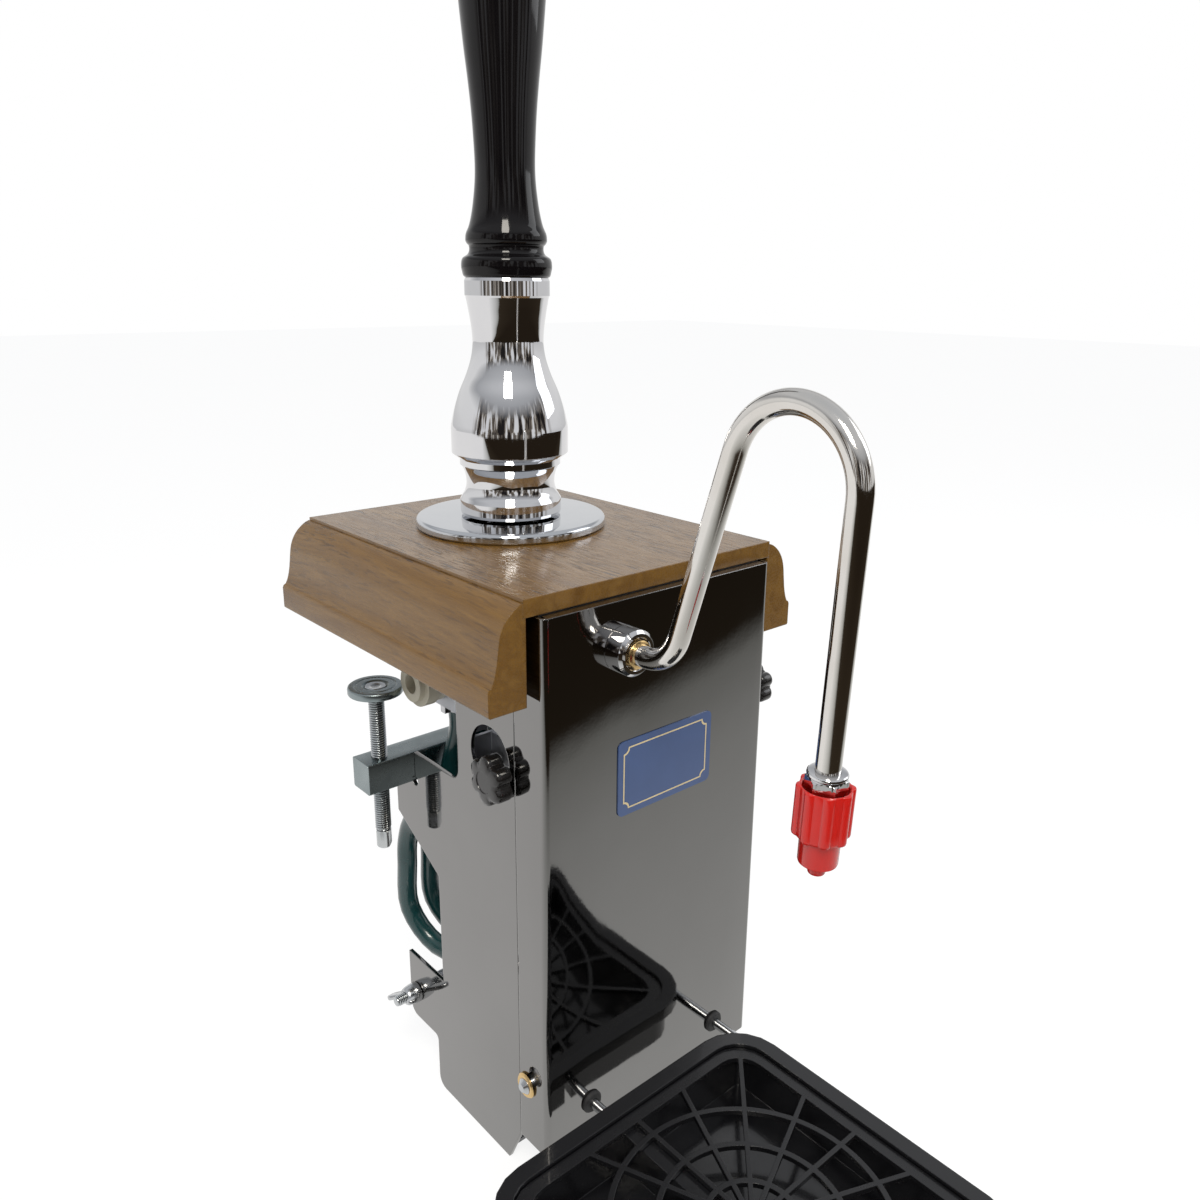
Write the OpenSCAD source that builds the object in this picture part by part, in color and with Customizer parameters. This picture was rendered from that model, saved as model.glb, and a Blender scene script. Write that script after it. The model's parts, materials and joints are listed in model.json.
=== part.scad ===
// Clamp-on hand pump beer engine.
// Pieces are drawn from the front cover: X to the right, Y back from the cover's face,
// Z up from the cover's top edge. Each is then set so that the origin lies on the
// underside of the seat plate, midway between the two clamp screws.

/* [Body] */
// Width across the side panels
body_w = 140; // [136:1:150]
// Height of the front cover below the tray rods
cover_low = 18; // [16:0.5:24]
// How far the cover folds back along each side
cover_return = 21; // [20:0.5:23]
// Thickness of the cover's sheet
cover_t = 1.5; // [1.2:0.1:1.8]
// Outside radius of the cover's two upright folds
cover_bend_r = 3; // [2:0.5:5]
// Thickness of the side panels
panel_t = 2; // [1.6:0.1:2.4]
// Gap at the seam between cover and side panels
seam_gap = 0.4; // [0.2:0.1:0.8]
// Height of the foot below the rear lug
foot_h = 31; // [26:1:48]
// Slope at the front of the side panels' foot, front to back
foot_slope_w = 10; // [8:0.5:16]
// Rear edge of the foot behind the cover's face
foot_rear_y = 96; // [92:1:105]
// Height of the rear lug
lug_h = 39; // [35:1:43]
// Rear edge of the lug
lug_rear_y = 123; // [121:1:130]
// Height of the lug's top above the cover's foot
shelf_rise = 48; // [43:1:52]
// Front edge of the rear window
window_front_y = 88.5; // [86:0.5:92]
// Height of the front edge of the rear window
window_front_drop = 160; // [155:1:170]
// Rear edge of the side panels under the clamp bar
panel_rear_y = 126.5; // [126:0.5:130]
// Lower rear corner of the side panels above the window
panel_rear_drop = 138; // [132:1:145]
// Front edge of the counter notch
notch_front_y = 67; // [64:0.5:72]
// Radius of the notch's lower corner and of the foot's corner
panel_corner_r = 6; // [4:0.5:8]

/* [Counter clamp] */
// Distance of the clamp screws behind the cover's face
clamp_y = 115.5; // [115:0.5:117]
// Square section of the clamp bar
bar_w = 16; // [14:0.5:18]
// Top of the clamp bar below the cover's top
bar_drop = 98; // [95:1:104]
// Length of the bar beyond each clamp screw
bar_end = 10.5; // [8:0.5:13]
// Distance of the clamp screws outside the side panels
screw_out = 15; // [14.5:0.5:17]
// Outside diameter of the clamp screws
screw_d = 8; // [7:0.5:10]
// Lower end of the screws' thread below the cover's top
screw_end_drop = 139; // [132:1:150]
// Length of the square drive end
drive_l = 10; // [8:0.5:14]
// Width across the flats of the square drive end
drive_w = 6.5; // [5:0.5:7]
// Diameter of the swivel pads
pad_d = 27; // [24:0.5:30]
// Thickness of the swivel pads
pad_t = 4; // [3.5:0.5:6]
// Top of the pads below the cover's top
pad_drop = 60; // [58:1:70]

/* [Oak cap] */
// Underside of the seat plate below the cover's top
seat_drop = 39; // [37:0.5:44]
// Thickness of the seat plate and of the top plate
plate_t = 2; // [1.6:0.1:2.4]
// Front edge of the oak cap behind the cover's face
cap_front_y = 5.5; // [4:0.5:8]
// Depth of the oak cap, front to back
cap_l = 190.5; // [180:1:205]
// Thickness of the oak board
board_t = 8; // [7:0.5:10]
// Lap of the board over the mouldings' inner faces
board_lap = 1.2; // [0.6:0.2:3]
// Half width over the side mouldings
cap_half_w = 93.5; // [90:0.5:96]
// Gap between the mouldings and the steel body
cap_gap = 4.4; // [3:0.2:5]
// Height of the plain band along the foot of the mouldings
band_h = 12.6; // [10:0.2:15]
// Thickness of the rear rail
rail_t = 10; // [8:0.5:14]

/* [Handle] */
// Centre of the chrome disc behind the cover's face
handle_y = 117.5; // [117:0.5:118]
// Diameter of the chrome disc
disc_d = 98.4; // [92:0.5:104]
// Thickness of the chrome disc
disc_t = 5.4; // [4.8:0.2:6]
// Height of the ferrule
ferrule_h = 117; // [112:1:124]
// Largest diameter of the ferrule
belly_d = 59.6; // [54:0.5:64]
// Gap between the ferrule's skirt and the disc
skirt_gap = 1.2; // [1:0.1:1.6]
// Height of the grip
grip_h = 268; // [240:1:300]
// Largest diameter of the grip
grip_d = 48; // [42:0.5:54]
// Diameter of the stud between lever and grip
stud_d = 10; // [8:0.5:11]

/* [Lever] */
// Fulcrum behind the cover's face
fulcrum_y = 79.5; // [79:0.1:80]
// Fulcrum below the cover's top
fulcrum_drop = 15.5; // [15.3:0.1:15.7]
// Radius of the quadrant that passes through the cap
quadrant_r = 48.7; // [48.5:0.1:48.9]
// Width of the quadrant along its radius
quadrant_w = 8; // [7:0.5:8]
// Thickness of the lever
lever_t = 12; // [10:0.5:13]
// Diameter of the fulcrum pin
pin_d = 8; // [6:0.5:9]
// Length of the lever's forward arm
arm_l = 46.5; // [46:0.1:47]
// Angle of the forward arm above level at rest
arm_lift = 8.2; // [7.8:0.1:8.6]
// Angle that the handle is pulled forward
pull_angle = 45; // [40:1:45]
// Diameter of the pin in the piston rod's yoke
yoke_pin_d = 6; // [5:0.5:6.5]

/* [Pump] */
// Piston rod's axis behind the cover's face
pump_y = 37.65; // [37.5:0.05:38]
// Bore of the cylinder
bore_d = 56; // [50:0.5:56]
// Wall of the cylinder
barrel_wall = 3; // [2:0.5:3]
// Top of the cylinder's cap below the cover's top
pump_drop = 124.5; // [122:0.5:128]
// Length of the cylinder barrel
barrel_l = 65.5; // [64:0.5:68]
// Thickness of the cylinder's cap and base
end_t = 8; // [7:0.5:9]
// Half width of the square cap and base
end_half_w = 32; // [31.5:0.1:32.5]
// Diameter of the piston rod
rod_d = 10; // [8:0.5:11]
// Diameter of the tie rods
tie_d = 5; // [4:0.5:5.5]
// Height of the piston
piston_h = 14; // [12:0.5:15]
// Height of the valve block
valve_h = 36; // [34:0.5:38]

/* [Swan neck] */
// Boss to the left of the middle
boss_x = 26.5; // [22:0.5:30]
// Boss below the cover's top
boss_drop = 22; // [20:0.5:26]
// Diameter of the boss
boss_d = 21; // [18:0.5:24]
// Length of the boss in front of the cover
boss_l = 10; // [8:0.5:14]
// Outside diameter of the swan neck's tube
tube_d = 9.6; // [8:0.1:10]
// Wall of the tube
tube_wall = 1; // [0.7:0.1:1.2]
// Radius of the lower bend
low_bend_r = 20; // [18:0.5:24]
// Forward lean of the rising leg
rise_lean = 17.8; // [15:0.1:20]
// Radius of the top bend
top_bend_r = 28.5; // [26:0.5:32]
// Length of the rising leg
rise_l = 84.5; // [70:0.5:95]
// Backward lean of the falling leg
fall_lean = 2.5; // [0:0.1:4]
// Length of the falling leg down to the collar
fall_l = 100; // [90:0.5:110]

/* [Sparkler] */
// Diameter over the sparkler's lobes
sparkler_d = 22; // [21:0.5:24]
// Height of the lobed skirt
skirt_h = 20.5; // [18:0.5:24]
// Diameter of the sparkler's plain end
nozzle_d = 15.4; // [15:0.2:17]
// Height of the plain end
nozzle_h = 11.5; // [10:0.5:14]
// Diameter of the tip
tip_d = 7; // [6:0.5:8]
// Height of the tip
tip_h = 4.6; // [4:0.2:6]

/* [Drip tray] */
// Side of the square tray
tray_w = 169; // [160:1:180]
// Middle of the tray to the left of the body's middle
tray_x = 39; // [38:0.5:40]
// Gap between the tray and the cover
tray_gap = 15.5; // [12:0.5:25]
// Top of the tray's rim above its rods
tray_rise = 9.5; // [9:0.5:11]
// Depth of the tray
tray_depth = 25; // [22:0.5:30]
// Corner radius of the tray
tray_r = 25; // [20:0.5:30]
// Distance of each tray rod from the middle
tray_rod_x = 43; // [42.5:0.1:43.5]
// Diameter of the tray rods
tray_rod_d = 5; // [4.5:0.1:5.2]
// Tray rods below the valve block's foot
tray_rod_low = 11; // [10.8:0.1:12]
// Reach of the tray rods in front of the cover
tray_rod_reach = 165; // [150:1:168]
// Number of spokes in the grille
spokes = 16; // [8:2:24]

/* [Hoses] */
// Outside diameter of the hoses
hose_d = 11; // [10:0.2:11.4]
// Bore of the hoses
hose_bore = 8; // [7.8:0.1:8.4]
// How far the hoses bow out behind the cover's face
hose_bow_y = 147; // [143:0.5:150]
// Lane of the inlet hose from the middle
inlet_lane_x = 57; // [55:0.5:58]
// Lane of the outlet hose from the middle
outlet_lane_x = 38; // [36:0.5:40]
// Inlet connector behind the cover's face
inlet_y = 95.5; // [95:0.1:96]
// Inlet connector below the cover's top
inlet_drop = 55.5; // [55:0.1:57]
// Bore of the inlet connector's mouth
inlet_bore = 9.6; // [9:0.1:10]

/* [Side fixings] */
// Knobs' axis behind the cover's face
knob_y = 31; // [30.5:0.1:32]
// Knobs' axis below the cover's top
knob_drop = 81; // [80:0.5:82]
// Diameter over the knobs' lobes
knob_d = 24; // [22:0.5:26]
// Thickness of the knobs' heads
knob_t = 10; // [9:0.5:12]
// How far the right knob is unscrewed
knob_slack = 24; // [10:0.5:26]
// Diameter of the access hole behind each knob
access_d = 30; // [29:0.5:32]
// Shoulder screws behind the cover's face
shoulder_y = 15.5; // [14.5:0.1:16]
// Shoulder screws above the tray rods
shoulder_rise = 15; // [13:0.5:17]
// Diameter of the cup washers
cup_d = 12.5; // [12:0.1:14]
// Wing bolt behind the cover's face
wing_y = 115.5; // [114.5:0.1:116]
// Distance of the wing bolt under the top of the lug
wing_low = 22; // [21:0.5:24]
// Diameter of the wing bolt
wing_d = 6; // [5:0.2:6]
// Width of the label plate
label_w = 60; // [50:1:70]
// Height of the label plate
label_h = 37; // [30:1:45]
// Middle of the label plate below the cover's top
label_drop = 85.5; // [80:0.5:100]

/* [Clearances] */
// Running clearance on a radius
run = 0.05; // [0.02:0.01:0.08]
// Clearance between pieces that only lie together
lie = 0.3; // [0.2:0.05:0.4]
// Overrun of cuts through a wall
cut = 1; // [0.5:0.1:1.5]

/* [Hidden] */
$fn = 48;

half_w = body_w / 2;
inner_x = half_w - panel_t;
seam_y = cover_return + seam_gap;
seat_top_z = plate_t - seat_drop;
barrel_top = pump_drop + end_t;
barrel_foot = barrel_top + barrel_l;
valve_top = barrel_foot + end_t;
valve_foot = valve_top + valve_h;
tray_rod_drop = valve_foot + tray_rod_low;
tray_drop = tray_rod_drop - tray_rise;
tray_y = tray_gap + tray_w / 2;
shoulder_drop = tray_rod_drop - shoulder_rise;
cover_h = tray_rod_drop + cover_low;
shelf_drop = cover_h - shelf_rise;
step_drop = shelf_drop + lug_h;
panel_drop = step_drop + foot_h;
wing_drop = shelf_drop + wing_low;
screw_x = half_w + screw_out;
bar_l = 2 * (screw_x + bar_end);
cap_base_z = seam_gap;
board_top_z = cap_base_z + board_t;
top_plate_z = cap_base_z - plate_t;
cap_rear_y = cap_front_y + cap_l;
cap_foot_z = seam_gap - seat_drop;
moulding_inner_x = half_w + cap_gap;
board_half_w = moulding_inner_x + board_lap;
disc_top_z = board_top_z + disc_t;
ferrule_z = disc_top_z + skirt_gap;
grip_z = ferrule_z + ferrule_h;
bar_front_y = clamp_y - bar_w / 2;
bar_rear_y = clamp_y + bar_w / 2;
bar_foot_drop = bar_drop + bar_w;
slot_gap = 0.2;
lip_h = 10;
sheet_clear = 0.5;

// A list of points with its corners rounded; each entry is [point, radius]
function corner(a, b, c, r, n = 5) =
    let (u = (a - b) / norm(a - b), v = (c - b) / norm(c - b), half = acos(u * v) / 2)
    let (back = r / tan(half), mid = (u + v) / norm(u + v), centre = b + mid * r / sin(half))
    let (p = b + u * back - centre, q = b + v * back - centre, turn = acos(p * q / (r * r)))
    [for (i = [0 : n]) centre + (p * sin(turn * (1 - i / n)) + q * sin(turn * i / n)) / sin(turn)];
function rounded(list) = [
    for (i = [0 : len(list) - 1])
        let (b = list[i], a = list[(i + len(list) - 1) % len(list)], c = list[(i + 1) % len(list)])
        each (b[1] == 0 ? [b[0]] : corner(a[0], b[0], c[0], b[1]))
];
function box_points(w, h, r) = rounded([
    [[-w / 2, -h / 2], r], [[w / 2, -h / 2], r], [[w / 2, h / 2], r], [[-w / 2, h / 2], r]
]);

// A smooth curve through a list of points, with n steps to each stretch
function spline_at(a, b, c, d, t) =
    0.5 * (2 * b + (c - a) * t + (2 * a - 5 * b + 4 * c - d) * t * t + (3 * b - a - 3 * c + d) * t * t * t);
function spline(p, n) = [
    for (i = [0 : len(p) - 2], k = [0 : n - 1])
        spline_at(p[max(i - 1, 0)], p[i], p[i + 1], p[min(i + 2, len(p) - 1)], k / n),
    p[len(p) - 1]
];

// Everything is drawn from the cover's face, then set on the seat
module placed() {
    translate([0, -clamp_y, seat_drop])
        children();
}

// A plate cut from an outline of Y and Z, from x = low to x = low + t
module yz_plate(low, t) {
    translate([low, 0, 0])
        rotate([90, 0, 90])
            linear_extrude(t)
                children();
}

// A plate cut from an outline of X and Z, from y = low to y = low + t
module xz_plate(low, t) {
    translate([0, low + t, 0])
        rotate([90, 0, 0])
            linear_extrude(t)
                children();
}

// Round bars along X, Y and Z between two places
module x_bar(r, low, high, y, z) {
    translate([low, y, z])
        rotate([0, 90, 0])
            cylinder(r = r, h = high - low);
}
module y_bar(r, low, high, x, z) {
    translate([x, high, z])
        rotate([90, 0, 0])
            cylinder(r = r, h = high - low);
}
module z_bar(r, low, high, x, y) {
    translate([x, y, low])
        cylinder(r = r, h = high - low);
}

// A block between two corners
module block(low, high) {
    translate(low)
        cube(high - low);
}

// A hexagon bar along Z, measured across its flats
module hex_z(flats, low, high, x, y) {
    translate([x, y, low])
        cylinder(r = flats / sqrt(3), h = high - low, $fn = 6);
}

// Side panels, with the counter notch, the bar's slot and the rear window
relief_r = 2.5;
panel_hole_gap = 0.2;
module side_outline() {
    difference() {
        polygon(rounded([
            [[seam_y, top_plate_z], 0],
            [[seam_y, -cover_h], 0],
            [[seam_y + foot_slope_w, -panel_drop], 0],
            [[foot_rear_y, -panel_drop], panel_corner_r],
            [[foot_rear_y, -step_drop], panel_corner_r / 2],
            [[lug_rear_y, -step_drop], panel_corner_r],
            [[lug_rear_y, -shelf_drop], 0],
            [[window_front_y, -shelf_drop], 0],
            [[window_front_y, -window_front_drop], 0],
            [[panel_rear_y, -panel_rear_drop], 0],
            [[panel_rear_y, -bar_foot_drop + lip_h], 0],
            [[bar_rear_y + slot_gap, -bar_foot_drop + lip_h], 0],
            [[bar_rear_y + slot_gap, -bar_foot_drop], 0],
            [[bar_front_y - slot_gap, -bar_foot_drop], 0],
            [[bar_front_y - slot_gap, -bar_drop], 0],
            [[notch_front_y, -bar_drop], panel_corner_r],
            [[notch_front_y, seat_top_z], 0],
            [[cap_rear_y - rail_t - sheet_clear, seat_top_z], 0],
            [[cap_rear_y - rail_t - sheet_clear, top_plate_z], 0]
        ]));
        translate([bar_front_y - slot_gap, -bar_foot_drop])
            circle(r = relief_r);
    }
}
stud_hole_inset = 5.8;
access_y = knob_y + access_d / 2 - stud_hole_inset;
access_z = -knob_drop + stud_hole_inset;
module side_panel(low) {
    far = low + panel_t + cut;
    color("black") placed()
        difference() {
            yz_plate(low, panel_t)
                side_outline();
            x_bar(access_d / 2, low - cut, far, access_y, access_z);
            x_bar(wing_d / 2 + panel_hole_gap, low - cut, far, wing_y, -wing_drop);
        }
}
module side_panel_left() {
    side_panel(-half_w);
}
module side_panel_right() {
    side_panel(half_w - panel_t);
}

// Front cover, folded back along both sides and along its top
cover_flange = cap_front_y - seam_gap;
slot_w = 9.5;
slot_y = 9;
slot_rise = 9;
shoulder_r = 3;
grommet_neck_t = 1.6;
grommet_groove_r = tray_rod_d / 2 + grommet_neck_t;
boss_thread_r = 6;
module cover_slot(low) {
    x_bar(slot_w / 2, low - cut, low + cover_t + cut, slot_y, -shoulder_drop + slot_rise);
    yz_plate(low - cut, cover_t + 2 * cut)
        limb([slot_y, -shoulder_drop + slot_rise], [shoulder_y, -shoulder_drop], 2 * shoulder_r + sheet_clear);
}
module front_cover() {
    inner_bend_r = cover_bend_r - cover_t;
    color("black") placed()
        difference() {
            union() {
                translate([0, 0, -cover_h])
                    linear_extrude(cover_h)
                        polygon(rounded([
                            [[-half_w, cover_return], 0],
                            [[-half_w, 0], cover_bend_r],
                            [[half_w, 0], cover_bend_r],
                            [[half_w, cover_return], 0],
                            [[half_w - cover_t, cover_return], 0],
                            [[half_w - cover_t, cover_t], inner_bend_r],
                            [[-half_w + cover_t, cover_t], inner_bend_r],
                            [[-half_w + cover_t, cover_return], 0]
                        ]));
                block([-half_w + cover_bend_r, cover_t / 2, -cover_t], [half_w - cover_bend_r, cover_flange, 0]);
            }
            cover_slot(-half_w);
            cover_slot(half_w - cover_t);
            for (side = [-1, 1])
                y_bar(grommet_groove_r + run, -cut, cover_t + cut, side * tray_rod_x, -tray_rod_drop);
            y_bar(boss_thread_r + run, -cut, cover_t + cut, -boss_x, -boss_drop);
        }
}

// Plates that join the two side panels
slot_clear = 1;
slot_ahead = 7.5;
lever_slot_front = handle_y - slot_ahead;
lever_slot_rear = fulcrum_y + quadrant_r + quadrant_w / 2 - slot_clear;
module lever_slot(low, high) {
    block([-lever_t / 2 - slot_clear, lever_slot_front, low - cut], [lever_t / 2 + slot_clear, lever_slot_rear, high + cut]);
}
module top_plate() {
    front_x = half_w - cover_t - sheet_clear;
    color("dimgray") placed()
        difference() {
            union() {
                block([-front_x, cap_front_y + sheet_clear, top_plate_z], [front_x, seam_y + cut, cap_base_z]);
                block([-half_w, seam_y, top_plate_z], [half_w, cap_rear_y - rail_t - sheet_clear, cap_base_z]);
            }
            lever_slot(top_plate_z, cap_base_z);
        }
}
module seat_plate() {
    seat_half_w = moulding_inner_x - seam_gap;
    color("silver") placed()
        block([-seat_half_w, notch_front_y, -seat_drop],
            [seat_half_w, cap_rear_y - rail_t - sheet_clear, seat_top_z]);
}
module bottom_plate() {
    color("dimgray") placed() {
        block([-inner_x, seam_y + foot_slope_w + plate_t, -panel_drop + plate_t],
            [inner_x, foot_rear_y - panel_corner_r, -panel_drop + 2 * plate_t]);
        block([-inner_x, foot_rear_y - panel_corner_r - plate_t, -panel_drop + 2 * plate_t],
            [inner_x, foot_rear_y - panel_corner_r, -step_drop]);
    }
}
bracket_web_y = 28;
bracket_low = 11;
bracket_foot_drop = tray_rod_drop + bracket_low;
bracket_web_h = 19.5;
bracket_ear_h = 42;
bracket_front_y = 4;
shoulder_thread_r = 2.5;
module tray_rod_bracket() {
    color("silver") placed()
        difference() {
            union() {
                block([-inner_x, bracket_web_y, -bracket_foot_drop],
                    [inner_x, bracket_web_y + plate_t, -bracket_foot_drop + bracket_web_h]);
                for (low = [-inner_x, inner_x - plate_t])
                    block([low, bracket_front_y, -bracket_foot_drop],
                        [low + plate_t, bracket_web_y + plate_t, -bracket_foot_drop + bracket_ear_h]);
            }
            for (side = [-1, 1])
                y_bar(tray_rod_d / 2 + run, bracket_web_y - cut, bracket_web_y + plate_t + cut,
                    side * tray_rod_x, -tray_rod_drop);
            for (low = [-inner_x, inner_x - plate_t])
                x_bar(shoulder_thread_r + run, low - cut, low + plate_t + cut, shoulder_y, -shoulder_drop);
        }
}
gland_r = 13;
tie_place = end_half_w - tie_d;
module at_ties() {
    for (sx = [-1, 1], sy = [-1, 1])
        translate([sx * tie_place, pump_y + sy * tie_place, 0])
            children();
}
module cylinder_plate() {
    plate_front_y = pump_y - end_half_w;
    color("dimgray") placed()
        difference() {
            block([-inner_x, plate_front_y, -pump_drop], [inner_x, pump_y + end_half_w, -pump_drop + plate_t]);
            z_bar(gland_r + sheet_clear, -pump_drop - cut, -pump_drop + plate_t + cut, 0, pump_y);
            at_ties()
                z_bar(tie_d / 2 + run, -pump_drop - cut, -pump_drop + plate_t + cut, 0, 0);
        }
}
spacer_wall = 2;
module cross_spacer() {
    color("silver") placed()
        difference() {
            x_bar(wing_d / 2 + spacer_wall, -inner_x, inner_x, wing_y, -wing_drop);
            x_bar(wing_d / 2 + run, -inner_x - cut, inner_x + cut, wing_y, -wing_drop);
        }
}

// Oak cap: a board, two side mouldings and a rear rail
module oak_board() {
    color("goldenrod") placed()
        difference() {
            block([-board_half_w, cap_front_y, cap_base_z], [board_half_w, cap_rear_y, board_top_z]);
            lever_slot(cap_base_z, board_top_z);
        }
}
joint_step = 1.5;
ledge_w = 1.2;
moulding_w = cap_half_w - board_half_w;
moulding_h = board_top_z - joint_step - cap_foot_z - band_h;
// The moulding's curve: share of its width, share of its height above the plain band
moulding_shares = [[0.04, 1], [0.2, 0.96], [0.42, 0.86], [0.57, 0.74], [0.66, 0.6], [0.71, 0.42], [0.76, 0.24],
    [0.83, 0.1], [0.9, 0.02]];
module moulding_profile() {
    polygon(concat(
        [[moulding_inner_x, cap_foot_z], [moulding_inner_x, cap_base_z], [board_half_w, cap_base_z],
            [board_half_w, board_top_z - joint_step]],
        spline([for (p = moulding_shares)
            [board_half_w + p[0] * moulding_w, cap_foot_z + band_h + p[1] * moulding_h]], 3),
        [[cap_half_w - ledge_w / 2, cap_foot_z + band_h], [cap_half_w, cap_foot_z + band_h - ledge_w],
            [cap_half_w, cap_foot_z + ledge_w / 2], [cap_half_w - ledge_w / 2, cap_foot_z]]
    ));
}
module oak_mouldings() {
    color("peru") placed()
        for (side = [0, 1])
            mirror([side, 0, 0])
                xz_plate(cap_front_y, cap_l)
                    moulding_profile();
}
module oak_rear_rail() {
    color("goldenrod") placed()
        block([-moulding_inner_x, cap_rear_y - rail_t, cap_foot_z], [moulding_inner_x, cap_rear_y, cap_base_z]);
}

// Chrome disc that the handle stands over
disc_edge_r = 2.2;
module base_disc() {
    disc_r = disc_d / 2;
    color("lightgray") placed()
        difference() {
            translate([0, handle_y, board_top_z])
                rotate_extrude($fn = 96)
                    polygon(concat([[0, 0], [disc_r - disc_edge_r / 2, 0], [disc_r, disc_edge_r / 2]],
                        [for (a = [0 : 15 : 90])
                            [disc_r - disc_edge_r * (1 - cos(a)), disc_t - disc_edge_r * (1 - sin(a))]],
                        [[0, disc_t]]));
            lever_slot(board_top_z, disc_top_z);
        }
}
label_t = 0.6;
label_r = 3;
label_x = 1.5;
module label_plate() {
    color("midnightblue") placed()
        translate([label_x, 0, -label_drop])
            xz_plate(-label_t, label_t)
                polygon(box_points(label_w, label_h, label_r));
}

// Fulcrum under the cap
bracket_gap = 13;
bracket_t = 4;
bracket_half_y = 12;
bracket_h = 26;
bush_wall = 2;
bush_r = pin_d / 2 + bush_wall;
bush_flange_t = 1;
bush_flange_w = 1.5;
bush_flange_r = bush_r + bush_flange_w;
pin_head_t = 2;
module fulcrum_brackets() {
    color("gray") placed()
        for (side = [0, 1])
            mirror([side, 0, 0])
                difference() {
                    block([bracket_gap, fulcrum_y - bracket_half_y, top_plate_z - bracket_h],
                        [bracket_gap + bracket_t, fulcrum_y + bracket_half_y, top_plate_z]);
                    x_bar(bush_r + run, bracket_gap - cut, bracket_gap + bracket_t + cut, fulcrum_y, -fulcrum_drop);
                }
}
module fulcrum_bushes() {
    color("darkgoldenrod") placed()
        for (side = [0, 1])
            mirror([side, 0, 0])
                difference() {
                    union() {
                        x_bar(bush_r, bracket_gap, bracket_gap + bracket_t, fulcrum_y, -fulcrum_drop);
                        x_bar(bush_flange_r, bracket_gap - bush_flange_t, bracket_gap, fulcrum_y, -fulcrum_drop);
                    }
                    x_bar(pin_d / 2 + run, 0, bracket_gap + bracket_t + cut, fulcrum_y, -fulcrum_drop);
                }
}
module fulcrum_pin() {
    pin_end = bracket_gap + bracket_t + lie;
    color("silver") placed() {
        x_bar(pin_d / 2, -pin_end, pin_end, fulcrum_y, -fulcrum_drop);
        for (side = [0, 1])
            mirror([side, 0, 0])
                x_bar(bush_r, pin_end, pin_end + pin_head_t, fulcrum_y, -fulcrum_drop);
    }
}

// Lever: hub, forward arm, quadrant through the cap, and the spigot in the handle
hub_r = 10;
hub_half = bracket_gap - bush_flange_t - lie;
rear_arm_w = 7;
arm_w = 11;
arm_eye_r = 6;
spigot_r = 7;
spigot_rise = 7;
spigot_z = ferrule_z + spigot_rise;
spigot_h = 74;
stud_depth = 20;
quadrant_low = -10;
quadrant_high = 45;
// Bends of the rear arm, as shares of the quadrant's radius
rear_arm_shares = [[0, 0], [0.49, -0.345], [0.74, -0.335]];
limb_swell = 0.3;
module limb(a, b, w) {
    angle = atan2(b[1] - a[1], b[0] - a[0]);
    translate(a)
        rotate(angle)
            translate([0, -w / 2])
                square([norm(b - a), w]);
    for (end = [a, b])
        translate(end)
            circle(r = w / 2 + limb_swell);
}
module quadrant() {
    reach = 2 * quadrant_r;
    intersection() {
        difference() {
            circle(r = quadrant_r + quadrant_w / 2, $fn = 96);
            circle(r = quadrant_r - quadrant_w / 2, $fn = 96);
        }
        polygon([[0, 0], reach * [cos(quadrant_low), sin(quadrant_low)], reach * [1, tan(quadrant_high / 2)],
            reach * [cos(quadrant_high), sin(quadrant_high)]]);
    }
}
module lever_outline() {
    quadrant_foot = quadrant_r * [cos(quadrant_low), sin(quadrant_low)];
    rear = [for (p = rear_arm_shares) quadrant_r * p];
    translate([fulcrum_y, -fulcrum_drop]) {
        quadrant();
        limb(rear[0], rear[1], rear_arm_w);
        limb(rear[1], rear[2], rear_arm_w);
        limb(rear[2], quadrant_foot, rear_arm_w);
        limb([0, 0], arm_l * [-cos(arm_lift), sin(arm_lift)], arm_w);
        translate(arm_l * [-cos(arm_lift), sin(arm_lift)])
            circle(r = arm_eye_r);
    }
    translate([handle_y - spigot_r, ferrule_z + skirt_gap / 2])
        square([2 * spigot_r, spigot_rise + spigot_r - skirt_gap]);
}
eye_y = fulcrum_y - arm_l * cos(arm_lift);
eye_z = -fulcrum_drop + arm_l * sin(arm_lift);
module lever() {
    color("gray") placed()
        difference() {
            union() {
                yz_plate(-lever_t / 2, lever_t)
                    lever_outline();
                x_bar(hub_r, -hub_half, hub_half, fulcrum_y, -fulcrum_drop);
                z_bar(spigot_r, spigot_z, spigot_z + spigot_h, 0, handle_y);
            }
            x_bar(pin_d / 2 + run, -hub_half - cut, hub_half + cut, fulcrum_y, -fulcrum_drop);
            x_bar(yoke_pin_d / 2 + run, -lever_t, lever_t, eye_y, eye_z);
            z_bar(stud_d / 2 + run, spigot_z + spigot_h - stud_depth, spigot_z + spigot_h + cut, 0, handle_y);
        }
}
stud_grip_depth = 34;
module handle_stud() {
    color("silver") placed()
        z_bar(stud_d / 2, spigot_z + spigot_h - stud_depth + lie, grip_z + stud_grip_depth - lie, 0, handle_y);
}

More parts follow.
